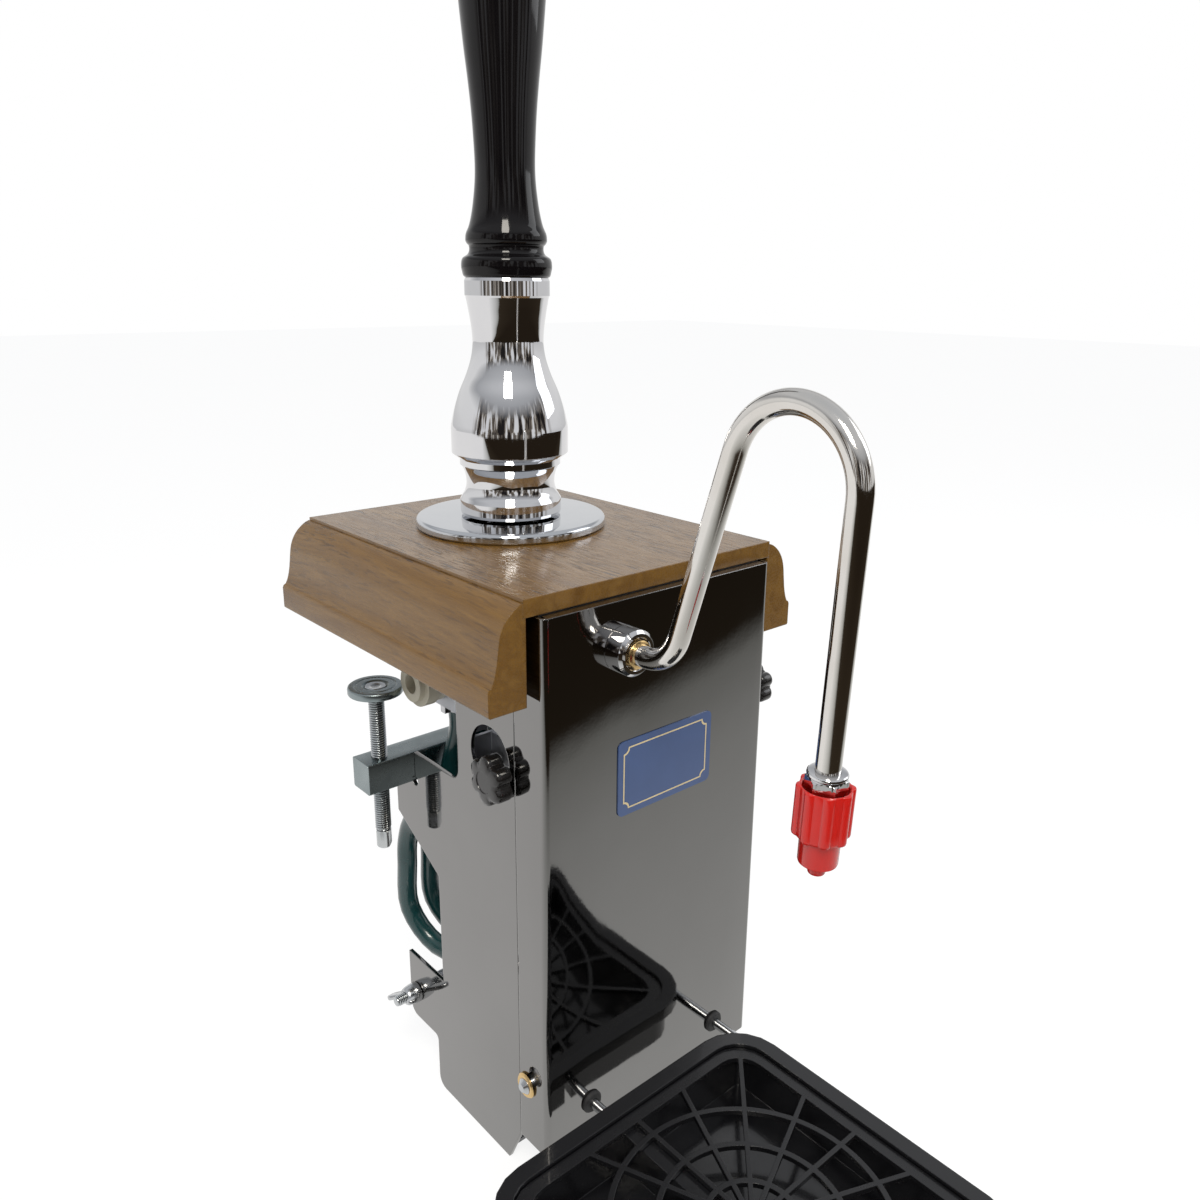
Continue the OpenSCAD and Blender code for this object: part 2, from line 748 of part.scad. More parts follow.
// Turned chrome ferrule; each entry is the share of the belly's radius and of the height
ferrule_shares = [
    [0.86, 0], [0.876, 0.012], [0.876, 0.062], [0.846, 0.075], [0.8, 0.095], [0.766, 0.125], [0.766, 0.155],
    [0.79, 0.185], [0.85, 0.215], [0.866, 0.228], [0.866, 0.243], [0.955, 0.258], [1, 0.272], [1, 0.375],
    [0.99, 0.4], [0.93, 0.46], [0.84, 0.53], [0.72, 0.6], [0.63, 0.67], [0.596, 0.735], [0.61, 0.8],
    [0.65, 0.87], [0.69, 0.925], [0.705, 0.955], [0.703, 0.985], [0.685, 1]
];
skirt_hollow_share = 0.72;
module ferrule() {
    r = belly_d / 2;
    hollow_top = spigot_z - skirt_gap;
    color("lightgray") placed()
        difference() {
            translate([0, handle_y, ferrule_z])
                rotate_extrude($fn = 96)
                    polygon(concat([[0, 0]],
                        [for (p = ferrule_shares) [p[0] * r, p[1] * ferrule_h]],
                        [[0, ferrule_h]]));
            z_bar(skirt_hollow_share * r, ferrule_z - cut, spigot_z + spigot_r, 0, handle_y);
            z_bar(spigot_r + run, hollow_top, spigot_z + spigot_h + lie, 0, handle_y);
            z_bar(stud_d / 2 + run, hollow_top, grip_z + cut, 0, handle_y);
        }
}

// Turned grip; each entry is the share of its largest radius and of its height
grip_shares = [
    [0.84, 0], [0.9, 0.006], [0.925, 0.02], [0.9, 0.033], [0.79, 0.041], [0.755, 0.048], [0.76, 0.055],
    [0.81, 0.06], [0.825, 0.068], [0.81, 0.077], [0.74, 0.092], [0.675, 0.118], [0.62, 0.155], [0.6, 0.187],
    [0.61, 0.225], [0.645, 0.28], [0.7, 0.333], [0.77, 0.39], [0.85, 0.47], [0.925, 0.56], [0.98, 0.66],
    [1, 0.75], [0.985, 0.83], [0.93, 0.9], [0.82, 0.95], [0.66, 0.98], [0.42, 0.995], [0, 1]
];
module handle_grip() {
    r = grip_d / 2;
    curve = spline([for (p = grip_shares) [p[0] * r, p[1] * grip_h]], 2);
    color("black") placed()
        difference() {
            translate([0, handle_y, grip_z])
                rotate_extrude($fn = 96)
                    polygon(concat([[0, 0]], curve));
            z_bar(stud_d / 2 + run, grip_z - cut, grip_z + stud_grip_depth, 0, handle_y);
        }
}

// Piston rod with its slotted yoke, driven down by the lever's pin
yoke_gap = 0.5;
cheek_t = 4;
yoke_wall = 3.5;
pin_play = 0.55;
// The pin runs below a straight-line travel by up to this much
pin_sag = 0.43;
bridge_t = 6;
bridge_clear = 8.2;
yoke_slot_h = yoke_pin_d + 2 * pin_play;
yoke_z = eye_z - pin_sag;
yoke_outer_x = lever_t / 2 + yoke_gap + cheek_t;
eye_rear_y = fulcrum_y - arm_l * cos(pull_angle - arm_lift);
slot_front_y = fulcrum_y - arm_l - yoke_pin_d / 2 - yoke_gap;
slot_rear_y = eye_rear_y + yoke_pin_d / 2 + yoke_gap;
module yoke_pin() {
    color("silver") placed() {
        x_bar(yoke_pin_d / 2, -yoke_outer_x - lie, yoke_outer_x + lie, eye_y, eye_z);
        for (side = [0, 1])
            mirror([side, 0, 0])
                x_bar(yoke_pin_d / 2 + bush_flange_t, yoke_outer_x + lie, yoke_outer_x + lie + bush_flange_t,
                    eye_y, eye_z);
    }
}
piston_rest = 10.5;
piston_top = pump_drop + end_t + piston_rest;
module piston_rod() {
    bridge_z = yoke_z - bridge_clear;
    color("silver") placed()
        difference() {
            union() {
                block([-yoke_outer_x, slot_front_y - yoke_wall, bridge_z - bridge_t],
                    [yoke_outer_x, slot_rear_y + yoke_wall, yoke_z + yoke_slot_h / 2 + yoke_wall]);
                z_bar(rod_d / 2, -piston_top, bridge_z - bridge_t / 2, 0, pump_y);
                z_bar(rod_neck_r, -piston_top - piston_h - nut_h, -piston_top + cut, 0, pump_y);
            }
            block([-lever_t / 2 - yoke_gap, slot_front_y - 2 * yoke_wall, bridge_z],
                [lever_t / 2 + yoke_gap, slot_rear_y + 2 * yoke_wall, yoke_z + yoke_slot_h + yoke_wall]);
            block([-yoke_outer_x - cut, slot_front_y, yoke_z - yoke_slot_h / 2],
                [yoke_outer_x + cut, slot_rear_y, yoke_z + yoke_slot_h / 2]);
        }
}
rod_neck_r = 4;
nut_h = 4;
nut_flats = 13;
seal_h = 5;
seal_w = 4;
module piston() {
    piston_r = bore_d / 2 - run;
    color("white") placed()
        difference() {
            z_bar(piston_r, -piston_top - piston_h, -piston_top, 0, pump_y);
            difference() {
                z_bar(piston_r + cut, -piston_top - (piston_h + seal_h) / 2,
                    -piston_top - (piston_h - seal_h) / 2, 0, pump_y);
                z_bar(piston_r - seal_w, -piston_top - piston_h, -piston_top, 0, pump_y);
            }
            z_bar(rod_neck_r + run, -piston_top - piston_h - cut, -piston_top + cut, 0, pump_y);
        }
}
module piston_seal() {
    piston_r = bore_d / 2 - run;
    color("black") placed()
        difference() {
            z_bar(piston_r, -piston_top - (piston_h + seal_h) / 2 + run,
                -piston_top - (piston_h - seal_h) / 2 - run, 0, pump_y);
            z_bar(piston_r - seal_w + run, -piston_top - piston_h, -piston_top, 0, pump_y);
        }
}
module piston_nut() {
    color("silver") placed()
        difference() {
            hex_z(nut_flats, -piston_top - piston_h - nut_h, -piston_top - piston_h, 0, pump_y);
            z_bar(rod_neck_r + run, -piston_top - piston_h - nut_h - cut, -piston_top, 0, pump_y);
        }
}

// Cylinder, held under its plate by four tie rods
gland_h = 12;
gland_spigot = 5;
gland_thread_r = 9;
module gland_nut() {
    color("gold") placed()
        difference() {
            union() {
                hex_z(gland_r * sqrt(3), -pump_drop + lie, -pump_drop + gland_h, 0, pump_y);
                z_bar(gland_thread_r, -pump_drop - gland_spigot, -pump_drop + gland_h / 2, 0, pump_y);
            }
            z_bar(rod_d / 2 + run, -pump_drop - end_t, -pump_drop + gland_h + cut, 0, pump_y);
        }
}
module cylinder_end(top) {
    difference() {
        block([-end_half_w, pump_y - end_half_w, -top - end_t], [end_half_w, pump_y + end_half_w, -top]);
        at_ties()
            z_bar(tie_d / 2 + run, -top - end_t - cut, -top + cut, 0, 0);
    }
}
port_r = 4;
module cylinder_ends() {
    color("silver") placed() {
        difference() {
            cylinder_end(pump_drop);
            z_bar(gland_thread_r + run, -pump_drop - gland_spigot - lie, -pump_drop + cut, 0, pump_y);
            z_bar(rod_d / 2 + run, -pump_drop - end_t - cut, -pump_drop, 0, pump_y);
        }
        difference() {
            cylinder_end(barrel_foot);
            z_bar(port_r, -barrel_foot - end_t - cut, -barrel_foot + cut, 0, pump_y);
        }
    }
}
module cylinder_barrel() {
    color("lightgray") placed()
        difference() {
            z_bar(bore_d / 2 + barrel_wall, -barrel_foot, -barrel_top, 0, pump_y);
            z_bar(bore_d / 2, -barrel_foot - cut, -barrel_top + cut, 0, pump_y);
        }
}
tie_nut_flats = 8;
module tie_rods() {
    color("silver") placed()
        at_ties() {
            z_bar(tie_d / 2, -barrel_foot - end_t - nut_h - cut, -pump_drop + plate_t + nut_h + cut, 0, 0);
            hex_z(tie_nut_flats, -barrel_foot - end_t - nut_h, -barrel_foot - end_t, 0, 0);
            hex_z(tie_nut_flats, -pump_drop + plate_t, -pump_drop + plate_t + nut_h, 0, 0);
        }
}

// Valve block under the cylinder, with its two check valves
valve_neck_h = 5;
valve_neck_r = 11;
valve_left_x = 46;
valve_right_x = 12;
valve_half_y = 15;
valve_front_y = pump_y - valve_half_y;
valve_rear_y = pump_y + valve_half_y;
inlet_valve_x = 34;
outlet_valve_x = 13;
chamber_r = 8;
chamber_h = 22;
plug_h = 6;
tail_low = 28;
tail_drop = valve_top + tail_low;
tail_thread_r = 5;
tail_thread_l = 6.5;
tail_hex_l = 6;
tail_hex_flats = 14;
tail_r = 3.7;
tail_l = 11.5;
tail_bore_r = 2.4;
chamber_foot = valve_foot - plug_h;
module valve_block() {
    color("dimgray") placed()
        difference() {
            union() {
                block([-valve_left_x, valve_front_y, -valve_foot],
                    [valve_right_x, valve_rear_y, -valve_top - valve_neck_h]);
                z_bar(valve_neck_r, -valve_top - valve_neck_h - cut, -valve_top, 0, pump_y);
            }
            z_bar(port_r, -valve_top - valve_neck_h - chamber_r, -valve_top + cut, 0, pump_y);
            x_bar(port_r - cut, -inlet_valve_x, 0, pump_y, -valve_top - valve_neck_h - chamber_r / 2);
            for (x = [-inlet_valve_x, -outlet_valve_x]) {
                z_bar(chamber_r, -valve_foot - cut, -chamber_foot + chamber_h, x, pump_y);
                y_bar(tail_thread_r + run, valve_rear_y - tail_thread_l, valve_rear_y + cut, x, -tail_drop);
                y_bar(tail_bore_r, pump_y, valve_rear_y, x, -tail_drop);
            }
        }
}
valve_seat_t = 3;
valve_lip_r = 4;
module check_valves() {
    color("black") placed()
        for (x = [-inlet_valve_x, -outlet_valve_x]) {
            seat = -chamber_foot + chamber_h - valve_seat_t;
            z_bar(chamber_r - run, seat, seat + valve_seat_t - run, x, pump_y);
            z_bar(valve_lip_r, seat - valve_seat_t, seat + cut, x, pump_y);
        }
}
module valve_plugs() {
    color("gold") placed()
        for (x = [-inlet_valve_x, -outlet_valve_x]) {
            z_bar(chamber_r - run, -valve_foot, -valve_foot + plug_h - cut, x, pump_y);
            hex_z(nut_flats, -valve_foot - nut_h / 2, -valve_foot, x, pump_y);
        }
}
module hose_tails() {
    color("gold") placed()
        for (x = [-inlet_valve_x, -outlet_valve_x])
            difference() {
                union() {
                    y_bar(tail_thread_r, valve_rear_y - tail_thread_l + run, valve_rear_y + cut, x, -tail_drop);
                    translate([x, valve_rear_y, -tail_drop])
                        rotate([-90, 0, 0])
                            hex_z(tail_hex_flats, 0, tail_hex_l, 0, 0);
                    y_bar(tail_r, valve_rear_y, valve_rear_y + tail_hex_l + tail_l, x, -tail_drop);
                }
                y_bar(tail_bore_r, valve_rear_y - tail_thread_l - cut, valve_rear_y + tail_hex_l + tail_l + cut,
                    x, -tail_drop);
            }
}

// Beer inlet: a push-fit connector on a side bracket, with an elbow to the hose
inlet_face_x = 77;
inlet_bracket_x = 63;
inlet_bracket_half_y = 13;
inlet_bracket_h = 30;
inlet_bracket_gap = 4;
inlet_foot_w = 12;
inlet_body_r = 12;
inlet_collet_r = 9;
inlet_collet_l = 3;
inlet_rim_r = 11;
inlet_rim_l = 5;
inlet_thread_r = 8;
inlet_depth = 15;
elbow_x = 50;
elbow_r = 7;
elbow_drop_l = 9;
elbow_tail_l = 21;
inlet_nut_t = 5;
inlet_nut_flats = 22;
module inlet_bracket() {
    foot_y = notch_front_y - inlet_foot_w - sheet_clear;
    low = -seat_drop - inlet_bracket_h;
    high = -seat_drop - inlet_bracket_gap;
    color("silver") placed()
        difference() {
            union() {
                block([-inlet_bracket_x, foot_y, low], [-inlet_bracket_x + plate_t, inlet_y + inlet_bracket_half_y, high]);
                block([-inner_x, foot_y, low], [-inlet_bracket_x + plate_t, foot_y + inlet_foot_w, high]);
            }
            x_bar(inlet_thread_r + run, -inlet_bracket_x - cut, -inlet_bracket_x + plate_t + cut, inlet_y, -inlet_drop);
        }
}
module inlet_connector() {
    nut_x = -inlet_bracket_x + plate_t;
    color("whitesmoke") placed()
        difference() {
            union() {
                x_bar(inlet_collet_r, -inlet_face_x, -inlet_bracket_x, inlet_y, -inlet_drop);
                x_bar(inlet_body_r, -inlet_face_x + inlet_collet_l, -inlet_bracket_x - inlet_rim_l, inlet_y, -inlet_drop);
                x_bar(inlet_rim_r, -inlet_bracket_x - inlet_rim_l, -inlet_bracket_x, inlet_y, -inlet_drop);
                x_bar(inlet_thread_r, -inlet_bracket_x, nut_x + inlet_nut_t, inlet_y, -inlet_drop);
                translate([nut_x, inlet_y, -inlet_drop])
                    rotate([0, 90, 0])
                        hex_z(inlet_nut_flats, 0, inlet_nut_t, 0, 0);
                x_bar(elbow_r, nut_x, -elbow_x, inlet_y, -inlet_drop);
                translate([-elbow_x, inlet_y, -inlet_drop])
                    sphere(r = elbow_r);
                z_bar(elbow_r - cut, -inlet_drop - elbow_drop_l, -inlet_drop, -elbow_x, inlet_y);
                z_bar(tail_r, -inlet_drop - elbow_tail_l, -inlet_drop, -elbow_x, inlet_y);
            }
            x_bar(inlet_bore / 2, -inlet_face_x - cut, -inlet_face_x + inlet_depth, inlet_y, -inlet_drop);
            x_bar(tail_bore_r, -inlet_face_x, -elbow_x + tail_bore_r, inlet_y, -inlet_drop);
            z_bar(tail_bore_r, -inlet_drop - elbow_tail_l - cut, -inlet_drop, -elbow_x, inlet_y);
        }
}

// Hoses, each one tube along its real route
hose_sides = 12;
hose_steps = 5;
tail_hose_y = valve_rear_y + tail_hex_l + lie;
elbow_hose_z = -inlet_drop - elbow_drop_l - lie;
bar_clear = 3;
bar_pass_y = bar_front_y - hose_d / 2 - bar_clear;
hose_end_l = 22;
spread = 17;
lane_gap = 15;
// The part of a route that both hoses share, from under the clamp bar to the valve block
function bow(x, foot_x) = [
    [-x, bar_pass_y + spread / 2, -bar_foot_drop - 1.22 * spread],
    [-x, hose_bow_y - 0.85 * spread, -bar_foot_drop - 2.16 * spread],
    [-x, hose_bow_y - spread / 3, -bar_foot_drop - 3.1 * spread],
    [-x, hose_bow_y - spread / 5, -bar_foot_drop - 4.07 * spread],
    [-0.9 * x - 0.1 * foot_x, hose_bow_y, -tail_drop + 1.13 * spread],
    [-0.6 * x - 0.4 * foot_x, hose_bow_y - spread, -tail_drop],
    [-0.2 * x - 0.8 * foot_x, tail_hose_y + hose_end_l + spread, -tail_drop + spread / 8],
    [-foot_x, tail_hose_y + hose_end_l, -tail_drop],
    [-foot_x, tail_hose_y + hose_end_l / 2, -tail_drop],
    [-foot_x, tail_hose_y, -tail_drop]
];
inlet_route = concat([
    [-elbow_x, inlet_y, elbow_hose_z],
    [-elbow_x, inlet_y, elbow_hose_z - hose_end_l / 2],
    [-elbow_x, inlet_y, elbow_hose_z - hose_end_l],
    [-(elbow_x + inlet_lane_x) / 2, bar_pass_y - bar_clear / 2, -bar_drop - hose_d / 2],
    [-inlet_lane_x, bar_pass_y, -bar_foot_drop - hose_d / 2]
], bow(inlet_lane_x, inlet_valve_x));
boss_tail_y = 16;
outlet_route = concat([
    [-boss_x, boss_tail_y, -boss_drop],
    [-boss_x, boss_tail_y + hose_end_l / 2, -boss_drop],
    [-boss_x, boss_tail_y + hose_end_l, -boss_drop],
    [-(boss_x + outlet_lane_x) / 2, notch_front_y - bar_clear, -seat_drop - hose_d],
    [-outlet_lane_x, inlet_y - bar_clear, -(seat_drop + bar_drop) / 2 - hose_d / 2],
    [-outlet_lane_x, bar_pass_y - bar_clear / 2, -bar_drop - hose_d / 2],
    [-outlet_lane_x, bar_pass_y, -bar_foot_drop - hose_d / 2]
], bow(inlet_lane_x - lane_gap, outlet_valve_x));
function unit(v) = v / norm(v);
function ring(c, dir, r, n) =
    let (s = unit(cross(dir, [1, 0, 0])), u = cross(dir, s))
    [for (k = [0 : n - 1]) c + r * (cos(360 * k / n) * s + sin(360 * k / n) * u)];
module hose(route) {
    n = hose_sides;
    path = spline(route, hose_steps);
    last = len(path) - 1;
    dirs = [for (i = [0 : last]) unit(path[min(i + 1, last)] - path[max(i - 1, 0)])];
    outer = [for (i = [0 : last]) each ring(path[i], dirs[i], hose_d / 2, n)];
    inner = [for (i = [0 : last]) each ring(path[i], dirs[i], hose_bore / 2, n)];
    half = len(outer);
    walls = [for (i = [0 : last - 1], k = [0 : n - 1])
        let (a = i * n + k, b = i * n + (k + 1) % n)
        each [[a, b, b + n], [a, b + n, a + n], [half + b, half + a, half + a + n], [half + b, half + a + n, half + b + n]]];
    ends = [for (k = [0 : n - 1])
        let (m = (k + 1) % n, z = last * n)
        each [[half + k, half + m, m], [half + k, m, k], [z + k, z + m, half + z + m], [z + k, half + z + m, half + z + k]]];
    polyhedron(points = concat(outer, inner), faces = concat(walls, ends));
}
module inlet_hose() {
    color("darkslategray") placed()
        hose(inlet_route);
}
module outlet_hose() {
    color("darkslategray") placed()
        hose(outlet_route);
}
clip_t = 1;
clip_w = 7;
clip_ear = 4;
module hose_clip() {
    difference() {
        union() {
            cylinder(r = hose_d / 2 + run + clip_t, h = clip_w);
            translate([hose_d / 2, -clip_ear / 2, 0])
                cube([clip_ear, clip_ear, clip_w]);
        }
        translate([0, 0, -cut])
            cylinder(r = hose_d / 2 + run, h = clip_w + 2 * cut);
    }
}
module hose_clips() {
    color("silver") placed() {
        for (x = [-inlet_valve_x, -outlet_valve_x])
            translate([x, tail_hose_y + clip_w / 2, -tail_drop])
                rotate([-90, 0, 0])
                    hose_clip();
        translate([-elbow_x, inlet_y, elbow_hose_z - 1.5 * clip_w])
            rotate(180)
                hose_clip();
        translate([-boss_x, boss_tail_y + clip_w / 2, -boss_drop])
            rotate([-90, 0, 0])
                hose_clip();
    }
}

// Swan neck boss: a bulkhead fitting through the cover, with a hose tail behind it
boss_chamfer = 1.5;
socket_l = 8;
back_nut_t = 6;
back_nut_flats = 17;
boss_thread_l = 14;
boss_tail_l = 13;
module swan_boss() {
    color("lightgray") placed()
        translate([-boss_x, 0, -boss_drop])
            difference() {
                rotate([90, 0, 0])
                    rotate_extrude()
                        polygon([
                            [0, -boss_thread_l - boss_tail_l], [tail_r, -boss_thread_l - boss_tail_l],
                            [tail_r, -boss_thread_l], [boss_thread_r, -boss_thread_l], [boss_thread_r, 0],
                            [boss_d / 2, 0], [boss_d / 2, boss_l - boss_chamfer],
                            [boss_d / 2 - boss_chamfer, boss_l], [0, boss_l]
                        ]);
                y_bar(tube_d / 2 + run, -boss_l - cut, socket_l - boss_l, 0, 0);
                y_bar(tail_bore_r, -boss_l, boss_thread_l + boss_tail_l + cut, 0, 0);
            }
}
module boss_back_nut() {
    color("silver") placed()
        difference() {
            translate([-boss_x, cover_t, -boss_drop])
                rotate([-90, 0, 0])
                    hex_z(back_nut_flats, 0, back_nut_t, 0, 0);
            y_bar(boss_thread_r + run, 0, cover_t + back_nut_t + cut, -boss_x, -boss_drop);
        }
}

// Swan neck: straight, bend, rise, bend and fall, all in one upright plane
olive_r = 6.4;
olive_t = 1.4;
neck_start_y = -boss_l + socket_l - lie;
neck_lead = 5;
low_bend_y = -boss_l - neck_lead;
function lean(a) = [-sin(a), cos(a)];
low_centre = [low_bend_y, -boss_drop + low_bend_r];
rise_start = low_centre + low_bend_r * [-cos(rise_lean), -sin(rise_lean)];
rise_end = rise_start + rise_l * lean(rise_lean);
top_centre = rise_end - top_bend_r * [cos(rise_lean), sin(rise_lean)];
fall_angle = 180 + fall_lean;
fall_start = top_centre + top_bend_r * [cos(fall_angle), sin(fall_angle)];
fall_end = fall_start + fall_l * lean(fall_angle);
spout_l = 16;
// The bends swell a little over the legs, which reach into them
bend_swell = 0.06;
leg_reach = 0.3;
// A length of tube in the neck's plane from point a to point b
module neck_leg(a, b) {
    far = norm(b - a) + leg_reach;
    translate([0, a[0], a[1]])
        rotate([atan2(a[0] - b[0], b[1] - a[1]), 0, 0])
            difference() {
                z_bar(tube_d / 2, -leg_reach, far, 0, 0);
                z_bar(tube_d / 2 - tube_wall, -cut, far + cut, 0, 0);
            }
}
// A bend of tube in the neck's plane about c, from angle a0 through sweep
module neck_bend(c, bend_r, a0, sweep) {
    translate([0, c[0], c[1]])
        rotate([90, 0, 90])
            rotate([0, 0, a0])
                rotate_extrude(angle = sweep, $fn = 96)
                    translate([bend_r, 0])
                        difference() {
                            circle(r = tube_d / 2 + bend_swell);
                            circle(r = tube_d / 2 - tube_wall - bend_swell);
                        }
}
module swan_neck() {
    color("lightgray") placed()
        translate([-boss_x, 0, 0]) {
            neck_leg([neck_start_y, -boss_drop], [low_bend_y, -boss_drop]);
            neck_bend(low_centre, low_bend_r, 180 + rise_lean, 90 - rise_lean);
            neck_leg(rise_start, rise_end);
            neck_bend(top_centre, top_bend_r, rise_lean, fall_angle - rise_lean);
            neck_leg(fall_start, fall_end + spout_l * lean(fall_angle));
            difference() {
                y_bar(olive_r, -boss_l - olive_t - lie, -boss_l - lie, 0, -boss_drop);
                y_bar(tube_d / 2 - cut / 2, -2 * boss_l, 0, 0, -boss_drop);
            }
        }
}

// The spout's own frame: its axis is -Z, and zero is the collar's top face
module at_spout() {
    translate([-boss_x, fall_end[0], fall_end[1]])
        rotate([fall_lean, 0, 0])
            children();
}
collar_d = 15.4;
collar_t = 2;
collar_hex_flats = 14;
collar_hex_l = 6;
collar_thread_r = 6.6;
collar_thread_l = 9;
module spout_collar() {
    color("lightgray") placed()
        at_spout()
            difference() {
                union() {
                    z_bar(collar_d / 2, -collar_t, 0, 0, 0);
                    hex_z(collar_hex_flats, -collar_t - collar_hex_l, -collar_t, 0, 0);
                    z_bar(collar_thread_r, -collar_t - collar_hex_l - collar_thread_l, -collar_t, 0, 0);
                }
                z_bar(tube_d / 2 + run, -spout_l - 2 * collar_thread_l, cut, 0, 0);
            }
}
sparkler_top = 6;
lobe_count = 8;
lobe_r = 2.4;
mouth_r = 8.7;
mouth_l = 3;
sparkler_wall = 1.6;
tip_bore_r = 1.6;
module sparkler() {
    core_r = sparkler_d / 2 - lobe_r / 2;
    skirt_foot = sparkler_top + skirt_h;
    nozzle_foot = skirt_foot + nozzle_h;
    thread_foot = collar_t + collar_hex_l + collar_thread_l + lie;
    color("red") placed()
        at_spout()
            difference() {
                union() {
                    translate([0, 0, -skirt_foot])
                        linear_extrude(skirt_h) {
                            circle(r = core_r);
                            for (k = [0 : lobe_count - 1])
                                rotate(360 * k / lobe_count)
                                    translate([sparkler_d / 2 - lobe_r, 0])
                                        circle(r = lobe_r);
                        }
                    z_bar(nozzle_d / 2, -nozzle_foot, -skirt_foot + cut, 0, 0);
                    z_bar(tip_d / 2, -nozzle_foot - tip_h, -nozzle_foot + cut, 0, 0);
                }
                z_bar(mouth_r, -collar_t - collar_hex_l - mouth_l, 0, 0, 0);
                z_bar(collar_thread_r + run, -thread_foot, 0, 0, 0);
                z_bar(nozzle_d / 2 - sparkler_wall, -nozzle_foot + sparkler_wall, -thread_foot + cut, 0, 0);
                z_bar(tip_bore_r, -nozzle_foot - tip_h - cut, 0, 0, 0);
            }
}

// Counter clamp: a bar across the body, with a screw and a swivel pad at each end
bar_chamfer = 1;
module clamp_bar() {
    color("lightsteelblue") placed()
        difference() {
            yz_plate(-bar_l / 2, bar_l)
                translate([clamp_y, -bar_drop - bar_w / 2])
                    polygon(rounded([
                        [[-bar_w / 2, -bar_w / 2], bar_chamfer], [[bar_w / 2, -bar_w / 2], bar_chamfer],
                        [[bar_w / 2, bar_w / 2], bar_chamfer], [[-bar_w / 2, bar_w / 2], bar_chamfer]
                    ]));
            for (side = [-1, 1])
                z_bar(screw_d / 2 + run, -bar_foot_drop - cut, -bar_drop + cut, side * screw_x, clamp_y);
        }
}
swivel_r = 3;
swivel_head_r = 5.2;
sink_r = 6.6;
sink_h = 2.6;
module clamp_screw(side) {
    pad_foot = -pad_drop - pad_t;
    sink_foot = -pad_drop - sink_h;
    color("silver") placed()
        translate([side * screw_x, clamp_y, 0]) {
            z_bar(screw_d / 2, -screw_end_drop, pad_foot - run, 0, 0);
            z_bar(swivel_r, pad_foot - cut, sink_foot + lie, 0, 0);
            translate([0, 0, sink_foot + lie])
                cylinder(r1 = swivel_r, r2 = swivel_head_r, h = sink_h - 2 * lie);
            block([-drive_w / 2, -drive_w / 2, -screw_end_drop - drive_l],
                [drive_w / 2, drive_w / 2, -screw_end_drop]);
        }
}
module clamp_screw_left() {
    clamp_screw(-1);
}
module clamp_screw_right() {
    clamp_screw(1);
}
pad_edge = 1;
module clamp_pad(side) {
    color("silver") placed()
        translate([side * screw_x, clamp_y, -pad_drop - pad_t])
            difference() {
                rotate_extrude()
                    polygon([[0, 0], [pad_d / 2 - pad_edge, 0], [pad_d / 2, pad_edge], [pad_d / 2, pad_t - pad_edge],
                        [pad_d / 2 - pad_edge, pad_t], [0, pad_t]]);
                z_bar(swivel_r + run, -cut, pad_t, 0, 0);
                translate([0, 0, pad_t - sink_h])
                    cylinder(r1 = swivel_r + lie, r2 = sink_r, h = sink_h);
                z_bar(sink_r, pad_t, pad_t + cut, 0, 0);
            }
}
module clamp_pad_left() {
    clamp_pad(-1);
}
module clamp_pad_right() {
    clamp_pad(1);
}

// Lobed knobs whose studs hold the cover's top to brackets inside the panels
knob_bracket_x = 56;
knob_boss_x = 61;
knob_bracket_half = 9;
knob_bracket_rear_y = 58;
knob_stud_r = 3;
knob_stud_l = 36;
knob_hub_r = 5.5;
knob_lobes = 6;
knob_lobe_r = 4;
knob_core_r = 9.6;
knob_face_x = 80;
module knob_brackets() {
    color("silver") placed()
        for (side = [0, 1])
            mirror([side, 0, 0])
                difference() {
                    union() {
                        block([knob_bracket_x, knob_y - knob_bracket_half, -knob_drop - knob_bracket_half],
                            [knob_bracket_x + plate_t, knob_bracket_rear_y, -knob_drop + knob_bracket_half]);
                        block([knob_bracket_x, knob_bracket_rear_y - plate_t, -knob_drop - knob_bracket_half],
                            [inner_x, knob_bracket_rear_y, -knob_drop + knob_bracket_half]);
                        x_bar(knob_hub_r, knob_bracket_x, knob_boss_x, knob_y, -knob_drop);
                    }
                    x_bar(knob_stud_r + run, knob_bracket_x - cut, knob_boss_x + cut, knob_y, -knob_drop);
                }
}
// A knob drawn with its face at x = face, facing +X
module knob(face) {
    back = face - knob_t;
    x_bar(knob_stud_r, back - knob_stud_l, back + cut, knob_y, -knob_drop);
    x_bar(knob_core_r, back, face, knob_y, -knob_drop);
    for (k = [0 : knob_lobes - 1]) {
        turn = 360 * k / knob_lobes + 90;
        lobe_at = knob_d / 2 - knob_lobe_r;
        x_bar(knob_lobe_r, back, face, knob_y + lobe_at * cos(turn), -knob_drop + lobe_at * sin(turn));
    }
}
module knob_left() {
    color("black") placed()
        mirror([1, 0, 0])
            knob(knob_face_x + lie);
}
module knob_right() {
    color("black") placed()
        knob(knob_face_x + knob_slack);
}

